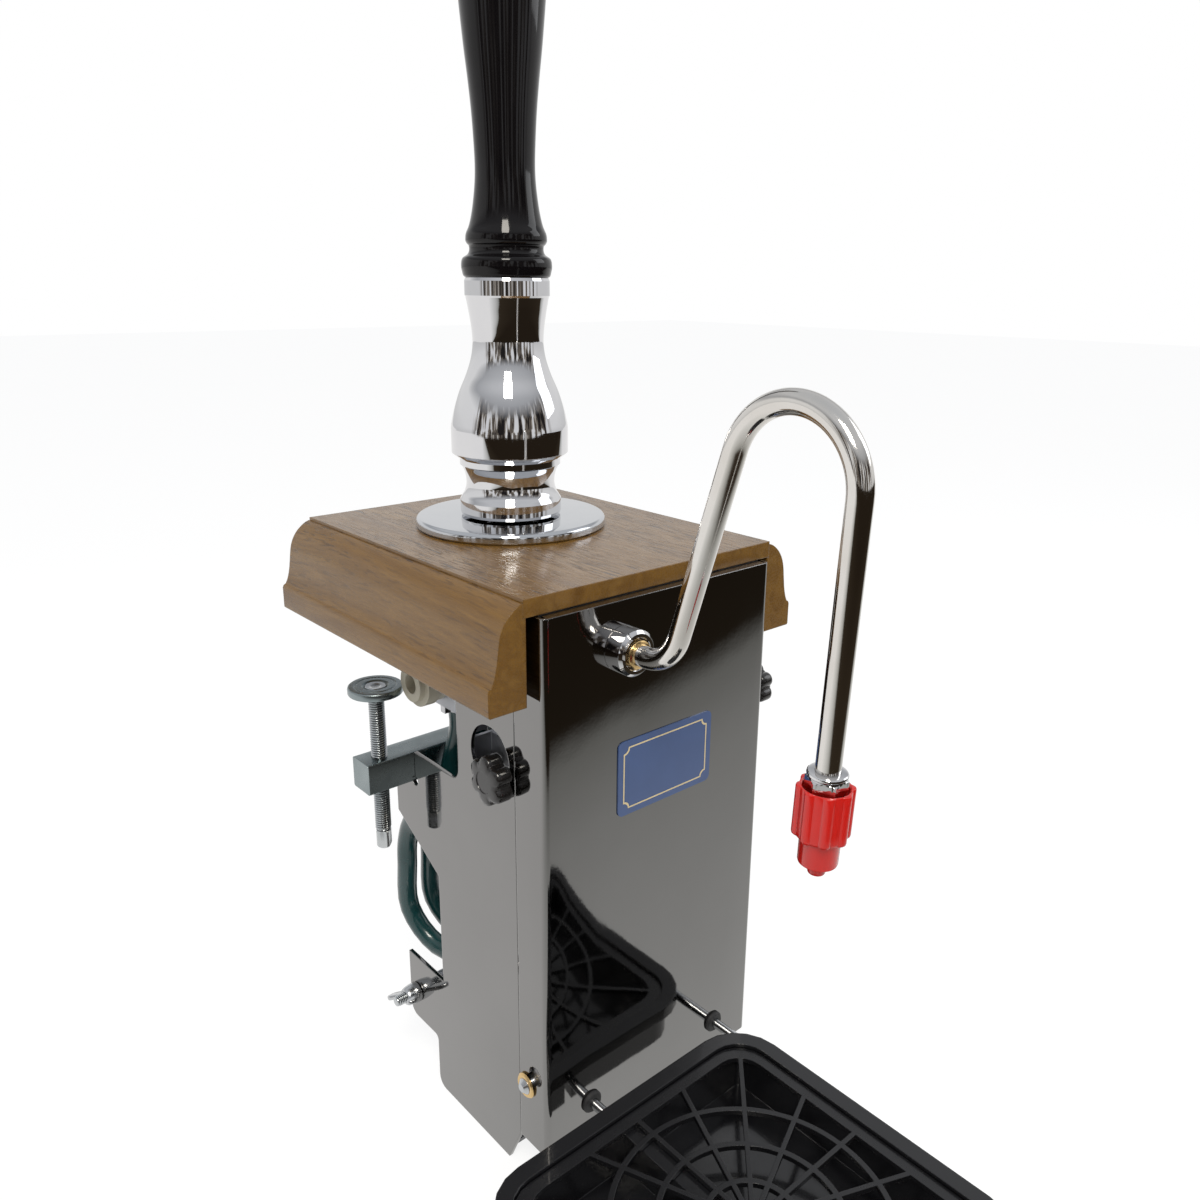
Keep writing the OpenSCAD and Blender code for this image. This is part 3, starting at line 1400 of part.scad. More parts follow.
// Wing bolt across the two lugs
wing_head_h = 4;
wing_head_flats = 10;
wing_hub_r = 5.5;
wing_hub_l = 8;
wing_reach = 14;
wing_root = 4.5;
wing_t = 2.4;
wing_foot_share = 0.75;
wing_end_l = 14;
module wing_bolt() {
    color("silver") placed() {
        x_bar(wing_d / 2, -half_w - wing_end_l, half_w + cut, wing_y, -wing_drop);
        translate([half_w, wing_y, -wing_drop])
            rotate([0, 90, 0])
                hex_z(wing_head_flats, 0, wing_head_h, 0, 0);
    }
}
module wing_nut() {
    nut_x = -half_w - lie - wing_hub_l;
    color("silver") placed()
        difference() {
            union() {
                x_bar(wing_hub_r, nut_x, -half_w - lie, wing_y, -wing_drop);
                for (turn = [-25, 155])
                    translate([nut_x + wing_hub_l, wing_y, -wing_drop])
                        rotate([turn, 0, 0])
                            translate([0, 0, -wing_t / 2])
                                linear_extrude(wing_t)
                                    polygon([[-wing_hub_l, 0], [0, 0], [-wing_root, wing_reach * wing_foot_share],
                                        [-wing_hub_l, wing_reach], [-wing_hub_l - wing_root, wing_reach],
                                        [-wing_hub_l - wing_root, wing_reach * wing_foot_share]]);
            }
            x_bar(wing_d / 2 + run, nut_x - 2 * wing_root, -half_w + cut, wing_y, -wing_drop);
        }
}

// Shoulder screws in the cover's slots, each with its cup washer
shoulder_head_r = 4;
shoulder_head_h = 2;
shoulder_end_l = 6;
cup_t = 1.6;
cup_x = half_w + run;
module shoulder_screws() {
    head_x = cup_x + cup_t;
    color("silver") placed()
        for (side = [0, 1])
            mirror([side, 0, 0]) {
                x_bar(shoulder_thread_r, inner_x - shoulder_end_l, inner_x + run, shoulder_y, -shoulder_drop);
                x_bar(shoulder_r, inner_x, head_x + run, shoulder_y, -shoulder_drop);
                translate([head_x + run, shoulder_y, -shoulder_drop])
                    rotate([0, 90, 0])
                        cylinder(r1 = shoulder_head_r, r2 = shoulder_head_r / 2, h = shoulder_head_h);
            }
}
module cup_washers() {
    color("gold") placed()
        for (side = [0, 1])
            mirror([side, 0, 0])
                difference() {
                    translate([cup_x, shoulder_y, -shoulder_drop])
                        rotate([0, 90, 0])
                            rotate_extrude()
                                polygon([[0, 0], [cup_d / 2 - cup_t / 2, 0], [cup_d / 2, cup_t / 2],
                                    [cup_d / 2 - cup_t / 2, cup_t], [0, cup_t]]);
                    x_bar(shoulder_r + run, cup_x - cut, cup_x + cup_t + cut, shoulder_y, -shoulder_drop);
                }
}

// Rods that carry the drip tray, each with its rubber grommet in the cover
rod_inner_y = 40;
rod_nut_flats = 8;
grommet_r = 5.6;
grommet_lip = 2;
module tray_rods() {
    color("lightsteelblue") placed()
        for (side = [-1, 1]) {
            y_bar(tray_rod_d / 2, -tray_rod_reach, rod_inner_y, side * tray_rod_x, -tray_rod_drop);
            for (low = [bracket_web_y - nut_h, bracket_web_y + plate_t])
                translate([side * tray_rod_x, low, -tray_rod_drop])
                    rotate([-90, 0, 0])
                        hex_z(rod_nut_flats, 0, nut_h, 0, 0);
        }
}
module tray_grommets() {
    color("black") placed()
        for (side = [-1, 1])
            translate([side * tray_rod_x, 0, -tray_rod_drop])
                rotate([-90, 0, 0])
                    difference() {
                        rotate_extrude()
                            polygon([[0, -grommet_lip], [grommet_r - cut, -grommet_lip], [grommet_r, -cut],
                                [grommet_r, -run], [grommet_groove_r, -run], [grommet_groove_r, cover_t + run],
                                [grommet_r, cover_t + run], [grommet_r, cover_t + cut],
                                [grommet_r - cut, cover_t + grommet_lip], [0, cover_t + grommet_lip]]);
                        z_bar(tray_rod_d / 2 + run, -grommet_lip - cut, cover_t + grommet_lip + cut, 0, 0);
                    }
}

// Drip tray: a stepped rim round a basin, with a tunnel for one rod and a lip over the other
rim_w = 6;
rim_step = 2;
grille_t = 2.5;
tray_wall = 2;
ledge_inner_w = 8;
basin_r = 3;
tunnel_clear = 0.1;
rim_h = tray_rod_drop - tray_rod_d / 2 - tray_drop - tunnel_clear;
module tray_shape(inset, low, high, r = 0) {
    side = tray_w - 2 * inset;
    translate([-tray_x, -tray_y, -tray_drop + low])
        linear_extrude(high - low)
            polygon(box_points(side, side, r > 0 ? r : tray_r - inset));
}
module drip_tray() {
    basin_inset = rim_w + ledge_inner_w;
    basin_low = -tray_depth + tray_wall;
    tunnel_half = tray_rod_d / 2 + tunnel_clear;
    tunnel_z = -tray_rod_drop + tray_rod_d / 2 + tunnel_clear;
    front_y = -tray_y - tray_w / 2;
    rear_y = -tray_y + tray_w / 2;
    color("#1a1a1a") placed()
        difference() {
            union() {
                tray_shape(0, -rim_h, 0);
                tray_shape(rim_w, -tray_depth, -rim_h + tray_wall);
            }
            difference() {
                tray_shape(rim_w + tray_wall, basin_low, cut);
                translate([-tray_rod_x - tunnel_half - tray_wall, front_y, -tray_drop - tray_depth])
                    cube([2 * (tunnel_half + tray_wall), tray_w, tray_depth + tunnel_z + tray_wall + tray_drop]);
                difference() {
                    tray_shape(rim_w, -tray_depth, -rim_step - grille_t);
                    tray_shape(basin_inset, -2 * tray_depth, cut, basin_r);
                }
            }
            block([-tray_rod_x - tunnel_half, front_y + rim_w + 2 * tray_wall, -tray_drop - tray_depth - cut],
                [-tray_rod_x + tunnel_half, rear_y + cut, tunnel_z]);
        }
}
grille_gap = 0.4;
bar_thin = 2.2;
ring_thin = 2.6;
grille_frame_w = 6;
// The grille's rings, as shares of half the tray's width
grille_ring_shares = [0.24, 0.475, 0.715];
module drip_grille() {
    inset = rim_w + tray_wall + grille_gap;
    side = tray_w - 2 * inset;
    hole = side - 2 * grille_frame_w;
    color("#222222") placed()
        translate([-tray_x, -tray_y, -tray_drop - rim_step - grille_t])
            linear_extrude(grille_t) {
                difference() {
                    polygon(box_points(side, side, tray_r - inset));
                    polygon(box_points(hole, hole, tray_r - inset - grille_frame_w / 2));
                }
                intersection() {
                    polygon(box_points(side - cut, side - cut, tray_r - inset));
                    for (k = [0 : spokes / 2 - 1])
                        rotate(360 * k / spokes)
                            square([2 * side, bar_thin], center = true);
                }
                for (share = grille_ring_shares)
                    difference() {
                        circle(r = share * tray_w / 2 + ring_thin / 2, $fn = 96);
                        circle(r = share * tray_w / 2 - ring_thin / 2, $fn = 96);
                    }
            }
}

side_panel_left();
side_panel_right();
front_cover();
top_plate();
seat_plate();
bottom_plate();
tray_rod_bracket();
cylinder_plate();
cross_spacer();
oak_board();
oak_mouldings();
oak_rear_rail();
base_disc();
label_plate();
fulcrum_brackets();
fulcrum_bushes();
fulcrum_pin();
lever();
handle_stud();
ferrule();
handle_grip();
yoke_pin();
piston_rod();
piston();
piston_seal();
piston_nut();
gland_nut();
cylinder_ends();
cylinder_barrel();
tie_rods();
valve_block();
check_valves();
valve_plugs();
hose_tails();
inlet_bracket();
inlet_connector();
inlet_hose();
outlet_hose();
hose_clips();
swan_boss();
boss_back_nut();
swan_neck();
spout_collar();
sparkler();
clamp_bar();
clamp_screw_left();
clamp_screw_right();
clamp_pad_left();
clamp_pad_right();
knob_brackets();
knob_left();
knob_right();
wing_bolt();
wing_nut();
shoulder_screws();
cup_washers();
tray_rods();
tray_grommets();
drip_tray();
drip_grille();
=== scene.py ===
import json
import math
import bmesh
import bpy
from mathutils import Matrix, Vector

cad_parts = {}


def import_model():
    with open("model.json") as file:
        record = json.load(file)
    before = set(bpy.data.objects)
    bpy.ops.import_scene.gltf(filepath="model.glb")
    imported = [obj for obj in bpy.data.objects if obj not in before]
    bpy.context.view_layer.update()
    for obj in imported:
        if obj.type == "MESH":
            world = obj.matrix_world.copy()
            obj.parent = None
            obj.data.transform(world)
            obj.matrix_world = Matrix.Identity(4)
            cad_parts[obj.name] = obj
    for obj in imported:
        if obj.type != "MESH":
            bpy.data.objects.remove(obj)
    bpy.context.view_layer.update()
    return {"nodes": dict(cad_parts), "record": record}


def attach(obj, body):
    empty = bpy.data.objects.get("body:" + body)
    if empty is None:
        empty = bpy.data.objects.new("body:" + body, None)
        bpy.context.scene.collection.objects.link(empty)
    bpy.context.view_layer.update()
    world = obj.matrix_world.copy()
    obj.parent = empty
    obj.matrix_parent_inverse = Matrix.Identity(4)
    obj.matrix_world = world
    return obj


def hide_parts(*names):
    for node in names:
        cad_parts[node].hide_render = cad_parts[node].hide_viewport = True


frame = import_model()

# Lengths are in millimetres, measured from the middle, the cover's face and its top edge,
# until at() turns them into the part's own frame in metres.

nodes = frame["nodes"]
record = frame["record"]
BODY = {n: body for body, names in record["behaviour"]["bodies"].items() for n in names}
scene = bpy.context.scene
scene.view_settings.view_transform = "Standard"
TAU = 2 * math.pi
CLAMP_Y = 115.5
SEAT = 39.0
FOOT = -293.0


def at(x, y, z):
    return Vector((x / 1000, (y - CLAMP_Y) / 1000, (z + SEAT) / 1000))


# ---------------------------------------------------------------- camera
PHOTO = 1200
FOCAL = 1019.68
CENTRE = (611.21, 579.04)


def camera():
    """The photo's own view, from its size, focal length and optical centre in pixels."""
    d = bpy.data.cameras.new("camera")
    o = bpy.data.objects.new("camera", d)
    scene.collection.objects.link(o)
    scene.camera = o
    right = Vector((0.750715, -0.660549, 0.010053))
    up = Vector((0.178600, 0.217582, 0.959563))
    back = Vector((-0.636026, -0.718563, 0.281316))
    eye = at(-306.75, -308.69, 131.43)
    o.matrix_world = Matrix.Translation(eye) @ Matrix((right, up, back)).transposed().to_4x4()
    d.sensor_width = 36
    d.lens = d.sensor_width * FOCAL / PHOTO
    d.shift_x = (PHOTO / 2 - CENTRE[0]) / PHOTO
    d.shift_y = (CENTRE[1] - PHOTO / 2) / PHOTO
    d.clip_start = 0.01
    d.clip_end = 60


camera()


# ---------------------------------------------------------------- materials
class Nodes:
    """Adds shader nodes to one tree and hands back their outputs."""

    def __init__(self, tree):
        self.nt = tree
        self.coord = None
        tree.nodes.clear()

    def node(self, kind, **inputs):
        n = self.nt.nodes.new("ShaderNode" + kind)
        for key, value in inputs.items():
            self.feed(n.inputs[key.replace("_", " ")], value)
        return n

    def feed(self, socket, value):
        """Links an output to a socket, or sets the socket's own value."""
        if isinstance(value, bpy.types.NodeSocket):
            self.nt.links.new(value, socket)
        elif socket.type == "RGBA":
            socket.default_value = (*value, 1)
        else:
            socket.default_value = value

    def scaled(self, scale, source=None):
        return self.node("Mapping", Scale=scale, Vector=source or self.coord).outputs[0]

    def noise(self, scale, detail=3.0, rough=0.55, vec=None, distortion=0.0):
        n = self.node("TexNoise", Scale=scale, Detail=detail, Roughness=rough, Distortion=distortion,
                      Vector=vec or self.coord)
        return n.outputs["Fac"]

    def ramp(self, fac, stops):
        n = self.node("ValToRGB")
        e = n.color_ramp.elements
        while len(e) < len(stops):
            e.new(0.5)
        for k, (place, colour) in enumerate(stops):
            e[k].position = place
            e[k].color = (*colour, 1) if isinstance(colour, tuple) else (colour, colour, colour, 1)
        self.feed(n.inputs[0], fac)
        return n.outputs[0]

    def math(self, op, a, b=0.5):
        n = self.node("Math")
        n.operation = op
        self.feed(n.inputs[0], a)
        self.feed(n.inputs[1], b)
        return n.outputs[0]

    def vector(self, op, a, b=None):
        n = self.node("VectorMath")
        n.operation = op
        self.feed(n.inputs[0], a)
        if b is not None:
            self.feed(n.inputs["Scale" if op == "SCALE" else 1], b)
        return n.outputs["Value" if op == "DOT_PRODUCT" else "Vector"]

    def span(self, value, low, high, to_low, to_high):
        n = self.node("MapRange")
        for k, v in enumerate((value, low, high, to_low, to_high)):
            self.feed(n.inputs[k], v)
        return n.outputs[0]

    def mix(self, fac, a, b):
        """Mixes two colours."""
        n = self.node("Mix")
        n.data_type = "RGBA"
        for k, v in ((0, fac), (6, a), (7, b)):
            self.feed(n.inputs[k], v)
        return n.outputs[2]

    def blend(self, fac, a, b):
        """Mixes two shaders."""
        n = self.node("MixShader")
        for k, v in enumerate((fac, a, b)):
            self.feed(n.inputs[k], v)
        return n.outputs[0]

    def join(self, parts):
        n = self.node("CombineXYZ")
        for socket, part in zip(n.inputs, parts):
            self.feed(socket, part)
        return n.outputs[0]

    def split(self, source):
        return self.node("SeparateXYZ", Vector=source).outputs


class Maker(Nodes):
    """Builds one material round a Principled shader, with worn edges of the radius given in metres."""

    def __init__(self, name, edge=0.0, **values):
        self.mat = bpy.data.materials.new(name)
        self.mat.use_nodes = True
        super().__init__(self.mat.node_tree)
        self.out = self.node("OutputMaterial")
        self.bsdf = self.node("BsdfPrincipled", **values)
        self.feed(self.out.inputs[0], self.bsdf.outputs[0])
        self.coord = self.node("TexCoord").outputs["Object"]
        self.normal = None
        if edge:
            n = self.node("Bevel", Radius=edge)
            n.samples = 6
            self.normal = n.outputs[0]
            self.feed(self.bsdf.inputs["Normal"], self.normal)

    def colour(self, value):
        self.feed(self.bsdf.inputs["Base Color"], value)

    def rough(self, value):
        self.feed(self.bsdf.inputs["Roughness"], value)

    def bump(self, height, strength, distance):
        n = self.node("Bump", Strength=strength, Distance=distance, Height=height)
        if self.normal is not None:
            self.feed(n.inputs["Normal"], self.normal)
        self.normal = n.outputs[0]
        self.feed(self.bsdf.inputs["Normal"], self.normal)


def mirror_sheet(name, base, rough):
    """Dark polished sheet: slight waviness, faint wiping marks and a few specks of dust."""
    m = Maker(name, edge=0.0007, Metallic=1.0)
    cloud = m.noise(7, 4, 0.6)
    wipe = m.noise(26, 5, 0.65, m.scaled((1, 1, 0.16)), 0.4)
    dust = m.ramp(m.noise(2400, 2, 0.5), [(0.735, 0.0), (0.78, 1.0)])
    body = m.mix(m.span(cloud, 0.3, 0.7, 0.0, 1.0), base, tuple(c * 1.08 for c in base))
    m.colour(m.mix(m.math("MULTIPLY", dust, 0.25), body, (0.5, 0.5, 0.48)))
    m.rough(m.span(wipe, 0.3, 0.75, rough, rough + 0.05))
    m.bump(m.noise(34, 2, 0.5), 0.035, 0.002)
    m.bump(m.noise(520, 2, 0.5), 0.03, 0.0002)
    return m.mat


def metal(name, base, rough, spread=0.06, grain=(1, 1, 1), scale=260, bump=0.05, tint=None, edge=0.0004,
          groove_shade=None):
    """Bare or plated metal with mottling and fine marks along its working direction, with painted shade darkening
    its grooves.
    """
    m = Maker(name, edge=edge, Metallic=1.0)
    patch = m.noise(34, 4, 0.6)
    fine = m.noise(scale, 4, 0.6, m.scaled(grain))
    other = tint or tuple(c * 0.86 for c in base)
    tone = m.mix(m.span(patch, 0.35, 0.7, 0.0, 1.0), base, other)
    # Painted shade: hollow spots, such as thread roots, take the dark groove colour.
    if groove_shade:
        groove_shade_mask = m.node("NewGeometry").outputs["Pointiness"]
        tone = m.mix(m.ramp(groove_shade_mask, [(0.455, 1.0), (0.505, 0.0)]), tone, groove_shade)
    m.colour(tone)
    both = m.math("ADD", m.math("MULTIPLY", fine, 0.6), m.math("MULTIPLY", patch, 0.4))
    m.rough(m.span(both, 0.3, 0.7, rough, rough + spread))
    m.bump(fine, bump, 0.0002)
    return m.mat


def plastic(name, base, rough, fine=900, bump=0.05, coat=0.0, vary=1.25, sub=0.0, edge=0.0005, shine=0.5):
    """Moulded plastic or rubber, a little cloudy, with a fine mould texture."""
    m = Maker(name, edge=edge, Specular_IOR_Level=shine, Coat_Weight=coat, Coat_Roughness=0.04,
              Subsurface_Weight=sub)
    if sub:
        m.feed(m.bsdf.inputs["Subsurface Radius"], (0.004, 0.001, 0.001))
    cloud = m.noise(55, 4, 0.6)
    m.colour(m.mix(cloud, base, tuple(min(1.0, c * vary) for c in base)))
    m.rough(m.span(m.noise(140, 4, 0.6), 0.3, 0.7, rough, rough + 0.08))
    m.bump(m.noise(fine, 2, 0.5), bump, 0.0002)
    return m.mat


def oak(name, long):
    """Varnished oak with its grain along axis 0 or 1: growth bands, fibres and dark pore dashes.
    The pores are faint on upright faces and fainter on cut ends."""
    m = Maker(name, edge=0.0008, Specular_IOR_Level=0.35, Coat_Weight=0.36, Coat_Roughness=0.1)
    stretch = [1.0, 1.0, 1.0]
    stretch[long] = 0.075
    sway = m.noise(9, 2, 0.5, m.scaled([0.5 + 0.5 * s for s in stretch]))
    shift = m.vector("SCALE", m.join([sway] * 3), 0.012)
    grain = m.scaled(stretch, m.vector("ADD", m.coord, shift))
    bands = m.noise(75, 3, 0.55, grain, 0.3)
    fibre = m.noise(900, 4, 0.65, grain)
    dashes = m.noise(1050, 1.0, 0.45, grain)
    pores = m.ramp(dashes, [(0.575, 0.0), (0.635, 1.0)])
    where = m.ramp(bands, [(0.38, 0.15), (0.55, 1.0)])
    tone = m.ramp(bands, [(0.3, (0.145, 0.07, 0.013)), (0.46, (0.228, 0.12, 0.026)),
                          (0.56, (0.178, 0.091, 0.02)), (0.72, (0.275, 0.154, 0.04))])
    tone = m.mix(m.span(fibre, 0.3, 0.7, 0.0, 0.45), tone, (0.11, 0.052, 0.012))
    facing = m.split(m.node("NewGeometry").outputs["True Normal"])
    upright = m.span(m.math("ABSOLUTE", facing[2]), 0.4, 0.9, 0.42, 1.0)
    cut_end = m.span(m.math("ABSOLUTE", facing[long]), 0.5, 0.95, 1.0, 0.28)
    dark = m.math("MULTIPLY", m.math("MULTIPLY", pores, where), cut_end)
    dark = m.math("MULTIPLY", dark, upright)
    m.colour(m.mix(m.math("MULTIPLY", dark, 0.85), tone, (0.05, 0.025, 0.01)))
    m.rough(m.span(fibre, 0.3, 0.7, 0.2, 0.36))
    m.bump(m.math("SUBTRACT", m.math("MULTIPLY", fibre, 0.5), dark), 0.3, 0.0004)
    m.feed(m.bsdf.inputs["Coat Normal"], m.normal)
    return m.mat


M = {
    "black": mirror_sheet("dark_mirror_sheet", (0.248, 0.244, 0.24), 0.03),
    "inner": metal("mill_steel", (0.2, 0.2, 0.205), 0.35, 0.15, grain=(1, 1, 0.1), scale=300),
    "plated": metal("plated_sheet", (0.52, 0.53, 0.55), 0.28, 0.14, scale=180, tint=(0.45, 0.46, 0.5)),
    "oak_y": oak("oak_along", 1),
    "oak_x": oak("oak_across", 0),
    "chrome": metal("chrome", (0.74, 0.74, 0.75), 0.02, 0.03, grain=(1, 1, 6), scale=500, bump=0.01,
                    tint=(0.7, 0.7, 0.72), edge=0.0),
    "plate_chrome": metal("chrome_disc", (0.64, 0.655, 0.68), 0.03, 0.04, scale=300, bump=0.01,
                          tint=(0.6, 0.62, 0.65), edge=0.0005),
    "tube": metal("bright_tube", (0.76, 0.74, 0.71), 0.07, 0.06, scale=700, bump=0.02, tint=(0.7, 0.67, 0.63),
                  edge=0.0),
    "bronze": metal("bronze", (0.5, 0.32, 0.16), 0.3, 0.1),
    "steel": metal("turned_steel", (0.62, 0.62, 0.64), 0.16, 0.12, grain=(1, 1, 8), scale=800),
    "brass": metal("brass", (0.78, 0.55, 0.26), 0.14, 0.12, scale=500, bump=0.04, tint=(0.66, 0.45, 0.2)),
    "alloy": metal("alloy", (0.66, 0.66, 0.68), 0.3, 0.12, grain=(1, 1, 4), scale=500),
    "zinc": metal("zinc_plate", (0.31, 0.355, 0.365), 0.2, 0.18, scale=150, bump=0.06,
                  tint=(0.23, 0.275, 0.285), edge=0.0006),
    "bright": metal("bright_zinc", (0.62, 0.63, 0.64), 0.14, 0.12, scale=240, tint=(0.5, 0.52, 0.54),
                    edge=0.0003),
    # The groove colour of the threaded parts is painted shade in their thread roots.
    "thread": metal("threaded_zinc", (0.6, 0.62, 0.63), 0.16, 0.12, scale=240, tint=(0.48, 0.51, 0.53),
                    edge=0.0, groove_shade=(0.06, 0.065, 0.07)),
    "grip": plastic("gloss_black", (0.0035, 0.003, 0.0035), 0.03, fine=260, bump=0.01, vary=1.6, edge=0.0,
                    shine=0.3),
    "knob": plastic("knob_black", (0.01, 0.0095, 0.0095), 0.14, fine=700, coat=0.3, vary=1.5, edge=0.0004),
    "white": plastic("natural_plastic", (0.72, 0.71, 0.67), 0.4),
    "rubber": plastic("rubber", (0.016, 0.016, 0.017), 0.55, fine=1500, bump=0.12),
    "acetal": plastic("dark_acetal", (0.03, 0.03, 0.033), 0.4),
    "pale": plastic("pale_connector", (0.46, 0.43, 0.345), 0.32, fine=1200),
    "teal": plastic("teal_hose", (0.006, 0.04, 0.042), 0.2, fine=500, bump=0.04, coat=0.4, vary=1.6, edge=0.0),
    "red": plastic("red_sparkler", (0.56, 0.012, 0.008), 0.14, fine=400, bump=0.03, coat=0.35, vary=1.2,
                   sub=0.08, edge=0.0003),
    "tray": plastic("tray_black", (0.0055, 0.0055, 0.0065), 0.13, fine=1800, bump=0.06, coat=0.35, vary=1.5,
                    edge=0.0009),
    "grille": plastic("grille_black", (0.006, 0.006, 0.007), 0.22, fine=1800, bump=0.08, coat=0.2, vary=1.5,
                      edge=0.0004),
    "label": plastic("label_blue", (0.045, 0.085, 0.215), 0.16, bump=0.02, coat=0.6, edge=0.0002),
    "label_line": plastic("label_cream", (0.68, 0.56, 0.32), 0.3, bump=0.03, coat=0.3, vary=1.1, edge=0.0),
}
USED = {
    "black": "side_panel_left side_panel_right front_cover",
    "inner": "top_plate bottom_plate cylinder_plate fulcrum_brackets lever",
    "plated": "seat_plate tray_rod_bracket cross_spacer inlet_bracket knob_brackets",
    "oak_y": "oak_board oak_mouldings",
    "oak_x": "oak_rear_rail",
    "chrome": "ferrule swan_boss spout_collar boss_back_nut",
    "plate_chrome": "base_disc",
    "tube": "swan_neck",
    "bronze": "fulcrum_bushes",
    "steel": "fulcrum_pin yoke_pin piston_rod piston_nut handle_stud tie_rods hose_clips",
    "brass": "gland_nut valve_plugs hose_tails cup_washers",
    "alloy": "cylinder_ends cylinder_barrel",
    "zinc": "clamp_bar clamp_pad_left clamp_pad_right",
    "bright": "wing_nut shoulder_screws tray_rods",
    "thread": "clamp_screw_left clamp_screw_right wing_bolt",
    "grip": "handle_grip",
    "knob": "knob_left knob_right",
    "white": "piston",
    "rubber": "piston_seal check_valves tray_grommets",
    "acetal": "valve_block",
    "pale": "inlet_connector",
    "teal": "inlet_hose outlet_hose",
    "red": "sparkler",
    "tray": "drip_tray",
    "grille": "drip_grille",
    "label": "label_plate",
}
LOOK = {name: M[key] for key, names in USED.items() for name in names.split()}


# ---------------------------------------------------------------- shapes
def smooth_by_angle(me, limit):
    """Round where faces meet gently, crisp elsewhere, also where the mesh is stored in loose faces."""
    spot = [tuple(round(c * 50000) for c in v.co) for v in me.vertices]
    meet = {}
    for p in me.polygons:
        for a, b in p.edge_keys:
            meet.setdefault(frozenset((spot[a], spot[b])), []).append(p.normal)
    for e in me.edges:
        n = meet.get(frozenset((spot[e.vertices[0]], spot[e.vertices[1]])), [])
        e.use_edge_sharp = len(n) != 2 or n[0].angle(n[1], 0) > math.radians(limit)
    me.polygons.foreach_set("use_smooth", [True] * len(me.polygons))


def ease(o):
    """Shows a CAD piece with round faces round and its edges crisp."""
    me = o.data
    if "custom_normal" in me.attributes:
        me.attributes.remove(me.attributes["custom_normal"])
    smooth_by_angle(me, 32)
    weld = o.modifiers.new("weld", "WELD")
    weld.merge_threshold = 0.00001
    me.materials.clear()
    me.materials.append(LOOK[o.name])


def seat(o, node, own=True):
    """Gives a finished piece its node's body, and lets it take the node's place."""
    scene.collection.objects.link(o)
    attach(o, BODY[node])
    if own:
        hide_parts(node)


def place(z, x=(1, 0, 0), origin=(0, 0, 0)):
    """A local frame: origin, then the directions of x, y and z."""
    z = Vector(z).normalized()
    x = Vector(x)
    x = (x - z * x.dot(z)).normalized()
    return Vector(origin), x, z.cross(x), z


